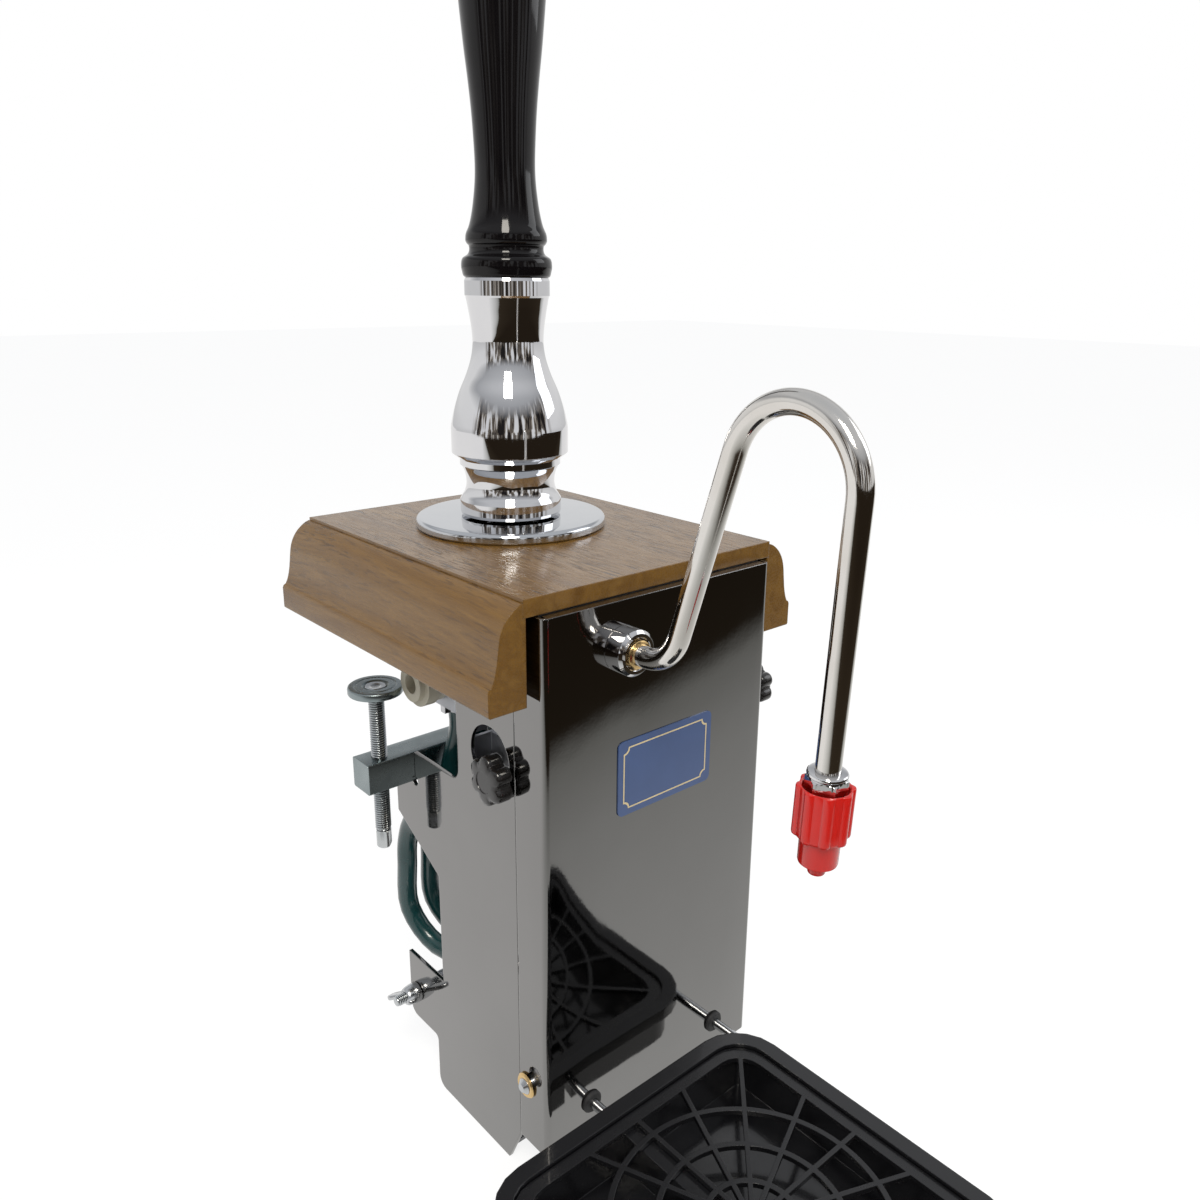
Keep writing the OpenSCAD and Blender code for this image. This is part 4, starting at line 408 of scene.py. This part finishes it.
class Shape:
    """Closed surfaces, gathered into one piece."""

    def __init__(self, name, node, mat=None, own=True):
        self.name, self.node, self.mat, self.own = name, node, mat, own
        self.v, self.f = [], []

    def add(self, verts, faces):
        n = len(self.v)
        self.v += verts
        self.f += [tuple(i + n for i in f) for f in faces]
        return self

    def turn(self, rows, frm, n, loop=False):
        """A turned form: rows are (height, radius), and a radius can depend on the angle.
        A loop joins the last row to the first, for a form with a bore."""
        o, x, y, z = frm
        verts, faces, rings = [], [], []
        for h, r in rows:
            ring = []
            count = 1 if not callable(r) and r == 0 else n
            for k in range(count):
                a = TAU * k / n
                q = r(a) if callable(r) else r
                ring.append(len(verts))
                verts.append(o + x * (q * math.cos(a)) + y * (q * math.sin(a)) + z * h)
            rings.append(ring)
        pairs = list(zip(rings, rings[1:])) + ([(rings[-1], rings[0])] if loop else [])
        for lo, hi in pairs:
            for k in range(n):
                m = (k + 1) % n
                if len(lo) == 1 and len(hi) == 1:
                    continue
                if len(lo) == 1:
                    faces.append((lo[0], hi[m], hi[k]))
                elif len(hi) == 1:
                    faces.append((lo[k], lo[m], hi[0]))
                else:
                    faces.append((lo[k], lo[m], hi[m], hi[k]))
        if not loop:
            for ring in (rings[0], rings[-1]):
                if len(ring) > 1:
                    faces.append(tuple(ring))
        return self.add(verts, faces)

    def sweep(self, path, r, n):
        """A round bar along a path of points."""
        verts, faces, rings = [], [], []
        side = Vector((1, 0, 0))
        for i, p in enumerate(path):
            d = (path[min(i + 1, len(path) - 1)] - path[max(i - 1, 0)]).normalized()
            side = (side - d * side.dot(d)).normalized()
            up = d.cross(side)
            rings.append([len(verts) + k for k in range(n)])
            verts += [p + side * (r * math.cos(TAU * k / n)) + up * (r * math.sin(TAU * k / n)) for k in range(n)]
        for lo, hi in zip(rings, rings[1:]):
            faces += [(lo[k], lo[(k + 1) % n], hi[(k + 1) % n], hi[k]) for k in range(n)]
        faces += [tuple(rings[0]), tuple(rings[-1])]
        return self.add(verts, faces)

    def slab(self, outline, low, high, frm, edge, steps):
        """A flat form with rounded rims: outline is in the local x and y."""
        o, x, y, z = frm
        n = len(outline)

        def inset(d):
            pts = []
            for k in range(n):
                a, b, c = Vector(outline[k - 1]), Vector(outline[k]), Vector(outline[(k + 1) % n])
                u, w = (b - a).normalized(), (c - b).normalized()
                nu, nw = Vector((-u.y, u.x)), Vector((-w.y, w.x))
                pts.append(b + (nu + nw) * (d / max(0.35, 1 + nu.dot(nw))))
            return pts

        area = sum(outline[k - 1][0] * outline[k][1] - outline[k][0] * outline[k - 1][1] for k in range(n))
        side = 1 if area > 0 else -1
        levels = []
        for k in range(steps + 1):
            a = math.pi / 2 * k / steps
            levels.append((low + edge * (1 - math.sin(a)), edge * (1 - math.cos(a))))
        levels = levels[::-1] + [(high - (h - low), d) for h, d in levels]
        verts, faces = [], []
        for h, d in levels:
            verts += [o + x * p.x + y * p.y + z * h for p in inset(side * d)]
        for j in range(len(levels) - 1):
            for k in range(n):
                m = (k + 1) % n
                faces.append((j * n + k, j * n + m, j * n + n + m, j * n + n + k))
        top = (len(levels) - 1) * n
        faces += [tuple(range(n)), tuple(range(top, top + n))]
        return self.add(verts, faces)

    def make(self, sharp):
        """The piece itself, crisp where faces meet at more than this angle in degrees."""
        me = bpy.data.meshes.new(self.name)
        me.from_pydata([at(*v) for v in self.v], [], self.f)
        bm = bmesh.new()
        bm.from_mesh(me)
        bmesh.ops.recalc_face_normals(bm, faces=bm.faces)
        bm.to_mesh(me)
        bm.free()
        me.update()
        smooth_by_angle(me, sharp)
        me.materials.append(self.mat or LOOK[self.node])
        o = bpy.data.objects.new(self.name, me)
        seat(o, self.node, self.own)
        return o


def paint(o, mat, first):
    """A second material for the faces from this vertex on."""
    o.data.materials.append(mat)
    for p in o.data.polygons:
        if all(v >= first for v in p.vertices):
            p.material_index = 1


def curve(pts, steps):
    """Catmull-Rom through points of any dimension."""
    pts = [Vector(p) for p in pts]
    out = []
    for i in range(len(pts) - 1):
        a, b, c, d = pts[max(i - 1, 0)], pts[i], pts[i + 1], pts[min(i + 2, len(pts) - 1)]
        for k in range(steps):
            t = k / steps
            out.append(0.5 * (2 * b + (c - a) * t + (2 * a - 5 * b + 4 * c - d) * t ** 2
                              + (3 * b - a - 3 * c + d) * t ** 3))
    return out + [pts[-1]]


def hexed(flats, cap, sides=6):
    """Radius of a polygon across flats, with its corners turned down to cap."""
    def r(a):
        half = math.pi / sides
        return min(flats / 2 / math.cos(a % (2 * half) - half), cap)
    return r


def nut_rows(h0, h1, flats, bore):
    """Rows of a chamfered nut with a hole."""
    c = flats / 2 / math.cos(math.pi / 6) - flats / 2
    rows = [(h0, bore + 0.4), (h0, flats / 2 - 0.2)]
    rows += [(h0 + 0.02 + c * 0.6 * k / 2, hexed(flats, flats / 2 + c * k / 2)) for k in (0, 1, 2)]
    rows += [(h1 - 0.02 - c * 0.6 * k / 2, hexed(flats, flats / 2 + c * k / 2)) for k in (2, 1, 0)]
    return rows + [(h1, flats / 2 - 0.2), (h1, bore + 0.4), (h1 - 0.4, bore), (h0 + 0.4, bore)]


def thread_rows(h0, h1, r, pitch, depth, per):
    """Rows of a V thread with a rounded crest, running out at both ends, at so many rows per turn."""
    def at_height(h):
        fade = min(1.0, (h - h0) / pitch, (h1 - h) / pitch)

        def f(a):
            t = (h / pitch - a / TAU) % 1
            v = min(1.0, max(0.0, 1.35 * (1 - abs(2 * t - 1)) - 0.12))
            return r - depth * (1 - v * max(0.0, fade))
        return f
    count = int((h1 - h0) / pitch * per)
    return [(h0 + (h1 - h0) * k / count, at_height(h0 + (h1 - h0) * k / count)) for k in range(count + 1)]


def lobed(count, at_r, lobe, core, first, size):
    """Radius of a round core with round lobes on it, the first lobe at the angle first."""
    def f(a):
        step = TAU / count
        d = (a - first + step / 2) % step - step / 2
        s = at_r * math.sin(d)
        r = at_r * math.cos(d) + math.sqrt(lobe * lobe - s * s) if abs(s) < lobe else 0.0
        return size * max(core, r, 0.9 * core + 0.1 * r)
    return f


def profile(parts, r, low, height):
    """Rows from shares of a radius and a height; each part is one smooth run, and parts meet in a crisp ring."""
    rows = []
    for part in parts:
        run = curve(part, 7) if len(part) > 2 else [Vector(p) for p in part]
        rows += [(low + height * p.y, min(1.0, p.x) * r) for p in run]
    out = rows[:1]
    for row in rows[1:]:
        if abs(row[0] - out[-1][0]) > 0.004 or abs(row[1] - out[-1][1]) > 0.004:
            out.append(row)
    return out


# ---------------------------------------------------------------- hoses
HOSE_D = 0.011
INLET = [(-50, 95.5, -64.8), (-50, 95.5, -75.8), (-50, 95.5, -86.8), (-53.5, 97.5, -103.5), (-57, 99, -119.5)]
OUTLET = [(-26.5, 16, -22), (-26.5, 27, -22), (-26.5, 38, -22), (-32.25, 64, -50), (-38, 92.5, -74),
          (-38, 97.5, -103.5), (-38, 99, -119.5)]


def bow(x, foot):
    """The stretch that both hoses share, from under the clamp bar to the valve block."""
    return [(-x, 107.5, -134.74), (-x, 132.55, -150.72), (-x, 141.33, -166.7), (-x, 143.6, -183.19),
            (-0.9 * x - 0.1 * foot, 147, -214.79), (-0.6 * x - 0.4 * foot, 130, -234),
            (-0.2 * x - 0.8 * foot, 97.95, -231.88), (-foot, 80.95, -234), (-foot, 69.95, -234),
            (-foot, 58.95, -234)]


def hose(name, node, points):
    path = curve(points, 4)
    c = bpy.data.curves.new(name, "CURVE")
    c.dimensions = "3D"
    c.bevel_depth = HOSE_D / 2
    c.bevel_resolution = 8
    c.use_fill_caps = True
    s = c.splines.new("POLY")
    s.points.add(len(path) - 1)
    for p, q in zip(s.points, path):
        p.co = (*at(*q), 1)
    s.use_smooth = True
    c.materials.append(LOOK[node])
    o = bpy.data.objects.new(name, c)
    seat(o, node)


hose("inlet_line", "inlet_hose", INLET + bow(57, 34))
hose("outlet_line", "outlet_hose", OUTLET + bow(42, 13))

# ---------------------------------------------------------------- handle
HANDLE = place((0, 0, 1), origin=(0, CLAMP_Y + 2, 0))
DISC_TOP, GRIP_LOW, GRIP_TOP = 15, 132, 400
GRIP_R, FERRULE_R = 24, 29.8
STUD_HOLE_R, HOLLOW_TOP = 7.05, 29
GRIP = [[(0.84, 0), (0.885, 0.003), (0.905, 0.009), (0.925, 0.02), (0.9, 0.033), (0.79, 0.0405), (0.755, 0.048),
         (0.76, 0.055), (0.795, 0.0585), (0.822, 0.063), (0.825, 0.0685), (0.81, 0.077), (0.74, 0.092),
         (0.675, 0.118), (0.62, 0.155), (0.6, 0.187), (0.61, 0.225), (0.645, 0.28), (0.7, 0.333), (0.77, 0.39),
         (0.85, 0.47), (0.925, 0.56), (0.98, 0.66), (1, 0.75), (0.985, 0.83), (0.93, 0.9), (0.82, 0.95),
         (0.66, 0.98), (0.42, 0.995), (0.0, 1.0)]]
FERRULE = [[(0.862, 0), (0.876, 0.012)], [(0.876, 0.012), (0.876, 0.062)],
           [(0.876, 0.062), (0.846, 0.075), (0.8, 0.095), (0.766, 0.125), (0.766, 0.155), (0.79, 0.185),
            (0.838, 0.213)],
           [(0.838, 0.213), (0.866, 0.218)], [(0.866, 0.218), (0.866, 0.243)],
           [(0.866, 0.243), (0.985, 0.266), (1, 0.272)], [(1, 0.272), (1, 0.375)],
           [(1, 0.375), (0.985, 0.4), (0.93, 0.46), (0.84, 0.53), (0.72, 0.6), (0.63, 0.67), (0.596, 0.735),
            (0.61, 0.8), (0.65, 0.87), (0.686, 0.921)],
           [(0.686, 0.921), (0.703, 0.929)], [(0.703, 0.929), (0.703, 0.988)], [(0.703, 0.988), (0.685, 1.0)]]


def handle():
    rows = [(GRIP_LOW, 0)] + profile(GRIP, GRIP_R, GRIP_LOW, GRIP_TOP - GRIP_LOW)
    rows[-1] = (GRIP_TOP, 0)
    Shape("grip", "handle_grip").turn(rows, HANDLE, 112).make(50)
    rows = profile(FERRULE, FERRULE_R, DISC_TOP, GRIP_LOW - DISC_TOP)
    hollow_r = 0.72 * FERRULE_R
    rows += [(GRIP_LOW, STUD_HOLE_R), (HOLLOW_TOP, STUD_HOLE_R), (HOLLOW_TOP, hollow_r), (DISC_TOP, hollow_r)]
    Shape("ferrule_turning", "ferrule").turn(rows, HANDLE, 128, loop=True).make(16)


handle()

# ---------------------------------------------------------------- swan neck
SPOUT_X, SPOUT_Z = -26.5, -22
SPOUT_BASE = place((0, -1, 0), origin=(SPOUT_X, 0, SPOUT_Z))
TUBE_R = 4.8
FIRST_BEND_R, TOP_BEND_R = 20, 28.5
RISE_L, FALL_L, COLLAR_AT = 84.5, 116, 100
RISE_LEAN, FALL_LEAN = 17.8, 2.5


def neck_route():
    """The tube's middle: out of the boss, up, over the top bend and down. Also where the collar starts."""
    path = [Vector((SPOUT_X, y, SPOUT_Z)) for y in (-2.3, -6, -10, -13)]
    for k in range(15):
        a = math.radians(270 - (90 - RISE_LEAN) * k / 14)
        path.append(Vector((SPOUT_X, -15 + FIRST_BEND_R * math.cos(a), -2 + FIRST_BEND_R * math.sin(a))))
    lean = math.radians(RISE_LEAN)
    rise = Vector((0, -math.sin(lean), math.cos(lean)))
    start = path[-1]
    path += [start + rise * (RISE_L * k / 8) for k in range(1, 8)]
    centre = start + rise * RISE_L - Vector((0, math.cos(lean), math.sin(lean))) * TOP_BEND_R
    out = math.radians(180 + FALL_LEAN)
    for k in range(33):
        a = lean + (out - lean) * k / 32
        path.append(centre + Vector((0, math.cos(a), math.sin(a))) * TOP_BEND_R)
    lean = math.radians(FALL_LEAN)
    fall = Vector((0, math.sin(lean), -math.cos(lean)))
    bend_end = path[-1]
    path += [bend_end + fall * (FALL_L * k / 10) for k in range(1, 11)]
    return path, place(fall, origin=bend_end + fall * COLLAR_AT)


NECK, SPOUT = neck_route()


def swan_neck():
    """The tube with its brass olive, the boss that holds it, and the nut behind the cover."""
    neck = Shape("neck_tube", "swan_neck").sweep(NECK, TUBE_R, 40)
    tube_end = len(neck.v)
    neck.turn([(10.3, 4.7), (10.3, 5.9), (10.5, 6.3), (10.9, 6.4), (11.2, 6.35), (11.5, 5.9), (11.7, 4.7)],
              SPOUT_BASE, 48, loop=True)
    paint(neck.make(35), M["brass"], tube_end)
    rows = [(-27, 2.45), (-27, 3.4), (-26.7, 3.7), (-25, 3.7), (-24.6, 3.45), (-22.8, 3.7), (-22.4, 3.45),
            (-20.6, 3.7), (-20.2, 3.45), (-18.4, 3.7), (-14, 3.7), (-14, 5.5)]
    rows += thread_rows(-13.6, -0.4, 6, 1.2, 0.5, 6)
    rows += [(0, 6), (0, 10.3), (0.25, 10.5), (8.5, 10.5), (8.8, 10.42), (9.8, 9.35), (10, 9.1), (10, 7.6),
             (9.85, 7.35), (9.0, 7.1), (9.0, 4.85), (2, 4.85), (2, 2.45)]
    Shape("spout_boss", "swan_boss").turn(rows, SPOUT_BASE, 72, loop=True).make(30)
    Shape("boss_nut", "boss_back_nut").turn(nut_rows(-7.5, -1.5, 17, 6.05), SPOUT_BASE, 96, loop=True).make(28)


def spout_end():
    """The chrome collar, and the red sparkler that screws onto it."""
    flats = 14
    c = flats / 2 / math.cos(math.pi / 6) - flats / 2
    rows = [(0, 4.85), (0, 6.7), (0.12, 7.2), (0.45, 7.55), (0.9, 7.7), (1.3, 7.65), (1.75, 7.3), (2, 6.9),
            (2.3, 6.6)]
    rows += [(2.4 + c * 0.6 * k / 2, hexed(flats, flats / 2 + c * k / 2)) for k in (0, 1, 2)]
    rows += [(8 - c * 0.5 * k / 2, hexed(flats, flats / 2 + c * k / 2)) for k in (2, 1, 0)]
    rows += [(8, 6.1)] + thread_rows(8.2, 16.7, 6.55, 1.3, 0.55, 6) + [(17, 5.9), (17, 4.85)]
    Shape("joint_collar", "spout_collar").turn(rows, SPOUT, 96, loop=True).make(26)

    def skirt(size):
        return lobed(8, 8.6, 2.4, 9.8, 0.0, size)

    rows = [(6.35, 8.9), (6.0, 9.2), (6.0, skirt(0.955)), (6.15, skirt(0.985)), (6.6, skirt(1.0))]
    rows += [(h, skirt(1.0)) for h in (10, 14, 18, 22)]
    rows += [(25.2, skirt(1.0)), (26.0, skirt(0.985)), (26.4, skirt(0.95)), (26.5, skirt(0.9)), (26.55, 7.95),
             (27.1, 7.75), (36.9, 7.62), (37.6, 7.4), (37.95, 6.9), (38, 6.2), (38.05, 3.9), (38.4, 3.55),
             (41.9, 3.4), (42.4, 3.15), (42.6, 2.7), (42.6, 1.8), (42.3, 1.6), (17.3, 1.6), (17.3, 6.65),
             (11, 6.65), (11, 8.7), (6.5, 8.7)]
    Shape("nozzle", "sparkler").turn(rows, SPOUT, 192, loop=True).make(34)


swan_neck()
spout_end()


# ---------------------------------------------------------------- clamp, knobs and wing nut
def clamp():
    """Clamp screws with their threads and square ends, and the pads on their swivels."""
    for side, word in ((-1, "left"), (1, "right")):
        up = place((0, 0, 1), origin=(85 * side, CLAMP_Y, 0))
        rows = [(-149, 0), (-149, 2.2), (-148.8, hexed(5.6, 2.9, 4)), (-148.2, hexed(6.2, 3.6, 4)),
                (-147.4, hexed(6.5, 4.0, 4)), (-140.2, hexed(6.5, 4.0, 4)), (-139.4, hexed(6.5, 4.0, 4)),
                (-139, 3.7)]
        rows += thread_rows(-138.9, -66.2, 4, 1.25, 0.76, 8)
        rows += [(-65.6, 3.95), (-64.4, 3.95), (-64.1, 3.6), (-64.05, 3), (-62.3, 3), (-61.0, 4.6),
                 (-60.5, 5.15), (-60.3, 4.9), (-60.3, 2.6), (-60.5, 2.2), (-60.55, 0)]
        Shape("screw_" + word, "clamp_screw_" + word).turn(rows, up, 40).make(30)
        rows = [(-64, 3.05), (-64, 12.6), (-63.75, 13.2), (-63.2, 13.5), (-61.1, 13.5), (-60.4, 13.3),
                (-60.05, 12.8), (-60, 12.2), (-60, 10.4), (-60.3, 10.1), (-60.3, 9.5), (-60, 9.2), (-60, 6.6),
                (-62.6, 3.3), (-62.6, 3.05)]
        Shape("pad_" + word, "clamp_pad_" + word).turn(rows, up, 80, loop=True).make(30)


def knobs():
    """Lobed knobs, each with its bright threaded stud."""
    def petal(size):
        return lobed(6, 8, 4, 9.6, math.pi / 2, size)

    body = [(0, 0), (0, 6.2), (0.7, 6.4), (0.8, petal(0.86)), (1.1, petal(0.93)), (1.9, petal(0.985)),
            (3.0, petal(1.0)), (7.0, petal(1.0)), (8.2, petal(0.985)), (9.1, petal(0.93)), (9.6, petal(0.85)),
            (9.85, petal(0.74)), (9.98, 6.3), (9.98, 5.2), (9.6, 5.0), (9.6, 0)]
    stud = [(0.02, 0)] + thread_rows(-35.7, -0.2, 3, 1.0, 0.5, 6)[::-1] + [(-36, 2.4), (-36, 0)]
    for x, side, word in ((-70.3, -1, "left"), (94, 1, "right")):
        frm = place((side, 0, 0), (0, 1, 0), (x, 31, -81))
        k = Shape("lobed_knob_" + word, "knob_" + word).turn(body, frm, 144)
        body_end = len(k.v)
        k.turn(stud, frm, 24)
        paint(k.make(34), M["bright"], body_end)


LUG_BOLT = (-70.3, CLAMP_Y, -245)
WING = [(-0.6, 3.2), (-1.4, 5.4), (-3.0, 8.2), (-4.6, 10.5), (-6.2, 12.6), (-8.0, 13.8), (-9.6, 14.0),
        (-11.2, 13.8), (-12.2, 12.9), (-12.5, 11.6), (-12.0, 10.2), (-10.7, 8.4), (-9.2, 6.2), (-8.0, 4.4),
        (-7.6, 3.2)]


def wing_nut():
    """The bolt across the rear lugs, and its wing nut with two rounded wings."""
    frm = place((-1, 0, 0), (0, 1, 0), LUG_BOLT)
    rows = [(13.7, 0), (13.7, 2.2), (13.4, 2.6)] + thread_rows(-8, 13.3, 3, 1.0, 0.5, 6)[::-1]
    rows += [(-8.2, 3), (-140.4, 3), (-140.4, hexed(10, 5.1)), (-140.7, hexed(10, 5.5)),
             (-143.8, hexed(10, 5.77)), (-144.15, hexed(10, 5.4)), (-144.3, 4.9), (-144.3, 0)]
    Shape("cross_bolt", "wing_bolt").turn(rows, frm, 36).make(30)
    w = Shape("wing_turn", "wing_nut")
    w.turn([(0, 3.1), (0, 5.2), (0.4, 5.5), (3.2, 5.45), (6.2, 4.95), (7.4, 4.6), (8, 4.1), (8, 3.1)],
           frm, 56, loop=True)
    outline = [(p.x, p.y) for p in curve(WING + [WING[0]], 3)[:-1]]
    along = Vector((1, 0, 0))
    for angle in (-25, 155):
        a = math.radians(angle)
        radial = Vector((0, math.cos(a), math.sin(a)))
        w.slab(outline, -1.2, 1.2, (Vector(LUG_BOLT), along, radial, along.cross(radial)), 0.7, 3)
    w.make(40)


clamp()
knobs()
wing_nut()


# ---------------------------------------------------------------- label
def notched(half_x, half_y, r):
    """A rectangle with its corners bitten out in quarter circles, anticlockwise."""
    pts = []
    for sx, sy, first in ((1, 1, 270), (-1, 1, 0), (-1, -1, 90), (1, -1, 180)):
        pts += [(sx * half_x + r * math.cos(math.radians(first - 15 * k)),
                 sy * half_y + r * math.sin(math.radians(first - 15 * k))) for k in range(7)]
    return pts


def label_border():
    """A thin line round the label's face, proud of it by a hair."""
    o, x, y, z = place((0, -1, 0), (1, 0, 0), (1.5, 0, -85.5))
    outer, inner = notched(26.9, 15.4, 3.0), notched(26.2, 14.7, 3.0)
    n = len(outer)
    verts = [o + x * p[0] + y * p[1] + z * h for h in (0.56, 0.64) for ring in (outer, inner) for p in ring]
    faces = []
    for k in range(n):
        m = (k + 1) % n
        faces += [(k, m, n + m, n + k), (2 * n + k, 2 * n + m, 3 * n + m, 3 * n + k),
                  (k, m, 2 * n + m, 2 * n + k), (n + k, n + m, 3 * n + m, 3 * n + k)]
    Shape("label_border", "label_plate", M["label_line"], own=False).add(verts, faces).make(30)


label_border()
for o in nodes.values():
    if not o.hide_render:
        ease(o)


# ---------------------------------------------------------------- floor, light
def floor():
    """Pale paper; to glossy rays it glows with a painted reflection, bright beside the pump and dark beyond the
    table's front edge.
    """
    low, s = at(0, 0, FOOT).z, 8.0
    me = bpy.data.meshes.new("floor")
    me.from_pydata([(-s, -s, low), (s, -s, low), (s, s, low), (-s, s, low)], [], [(0, 1, 2, 3)])
    o = bpy.data.objects.new("floor", me)
    scene.collection.objects.link(o)
    m = Maker("floor_paper", Roughness=0.9, Specular_IOR_Level=0.0)
    m.colour(m.mix(m.noise(3, 3, 0.5), (0.78, 0.78, 0.78), (0.8, 0.8, 0.8)))
    y = m.split(m.node("NewGeometry").outputs["Position"])[1]
    far = m.math("MULTIPLY", m.math("ADD", y, 1.2), 1 / 1.6)
    # Painted reflection: the colours glossy rays see on the floor, dark beyond the table's front edge and bright
    # near the pump, given off as light.
    tone = m.ramp(far, [(0.0, (0.02, 0.014, 0.009)), (0.405, (0.035, 0.026, 0.017)), (0.44, (0.36, 0.36, 0.34)),
                        (0.52, (0.58, 0.58, 0.565)), (0.66, (0.8, 0.8, 0.785)), (0.76, (0.93, 0.92, 0.91))])
    painted_reflection = m.node("Emission", Color=tone).outputs[0]
    glow = m.node("Emission", Color=(1, 1, 1), Strength=1.17).outputs[0]
    ray = m.node("LightPath").outputs
    # Glossy rays see the painted reflection glow in place of the paper.
    surface = m.blend(ray["Is Glossy Ray"], m.bsdf.outputs[0], painted_reflection)
    seen = m.math("MULTIPLY", ray["Is Camera Ray"], 0.72)
    m.feed(m.out.inputs[0], m.blend(seen, surface, glow))
    me.materials.append(m.mat)


def world():
    """A pale tent behind and beside the pump, and a darker room with upright shapes in front of it."""
    w = bpy.data.worlds.new("studio")
    scene.world = w
    w.use_nodes = True
    m = Nodes(w.node_tree)
    m.coord = m.node("TexCoord").outputs["Generated"]
    x, y, z = m.split(m.coord)
    ahead = m.vector("NORMALIZE", m.join([x, y]))
    front = m.ramp(m.vector("DOT_PRODUCT", ahead, (-0.5, -0.866, 0)), [(0.08, 0.0), (0.3, 1.0)])
    bars = m.noise(9, 2, 0.5, m.scaled((1, 1, 0.16)))
    room = m.ramp(bars, [(0.40, (0.02, 0.018, 0.018)), (0.45, (0.2, 0.17, 0.14)), (0.49, (0.05, 0.042, 0.038)),
                         (0.53, (0.42, 0.38, 0.33)), (0.58, (0.85, 0.86, 0.88))])
    height = m.math("MULTIPLY", m.math("ADD", z, 1.0), 0.5)
    tent = m.ramp(height, [(0.0, 0.7), (0.48, 0.72), (0.56, 0.88), (0.8, 0.94), (1.0, (0.88, 0.92, 0.97))])
    ceiling = m.ramp(height, [(0.66, 0.0), (0.74, 1.0)])
    glare = m.ramp(height, [(0.7, (0.38, 0.39, 0.41)), (0.84, (0.68, 0.69, 0.71)), (1.0, (0.6, 0.62, 0.65))])
    all_round = m.mix(ceiling, m.mix(front, tent, room), glare)
    back = m.node("Background", Color=all_round, Strength=0.92).outputs[0]
    white = m.node("Background", Color=(1, 1, 1)).outputs[0]
    seen = m.node("LightPath").outputs["Is Camera Ray"]
    m.node("OutputWorld", Surface=m.blend(seen, back, white))


def lamp(name, spot, target, watts, colour, size, size_y=None):
    d = bpy.data.lights.new(name, "AREA")
    d.energy = watts
    d.color = colour
    d.size = size
    if size_y:
        d.shape = "RECTANGLE"
        d.size_y = size_y
    o = bpy.data.objects.new(name, d)
    scene.collection.objects.link(o)
    o.location = spot
    o.rotation_mode = "QUATERNION"
    o.rotation_quaternion = (Vector(target) - Vector(spot)).to_track_quat("-Z", "Y")


floor()
world()
lamp("key", (-0.75, -0.95, 1.35), (0, 0, 0.1), 19, (1, 0.95, 0.86), 0.5, 0.7)
lamp("fill", (1.3, -0.7, 0.8), (0, 0, 0), 4, (0.95, 0.97, 1), 0.8)
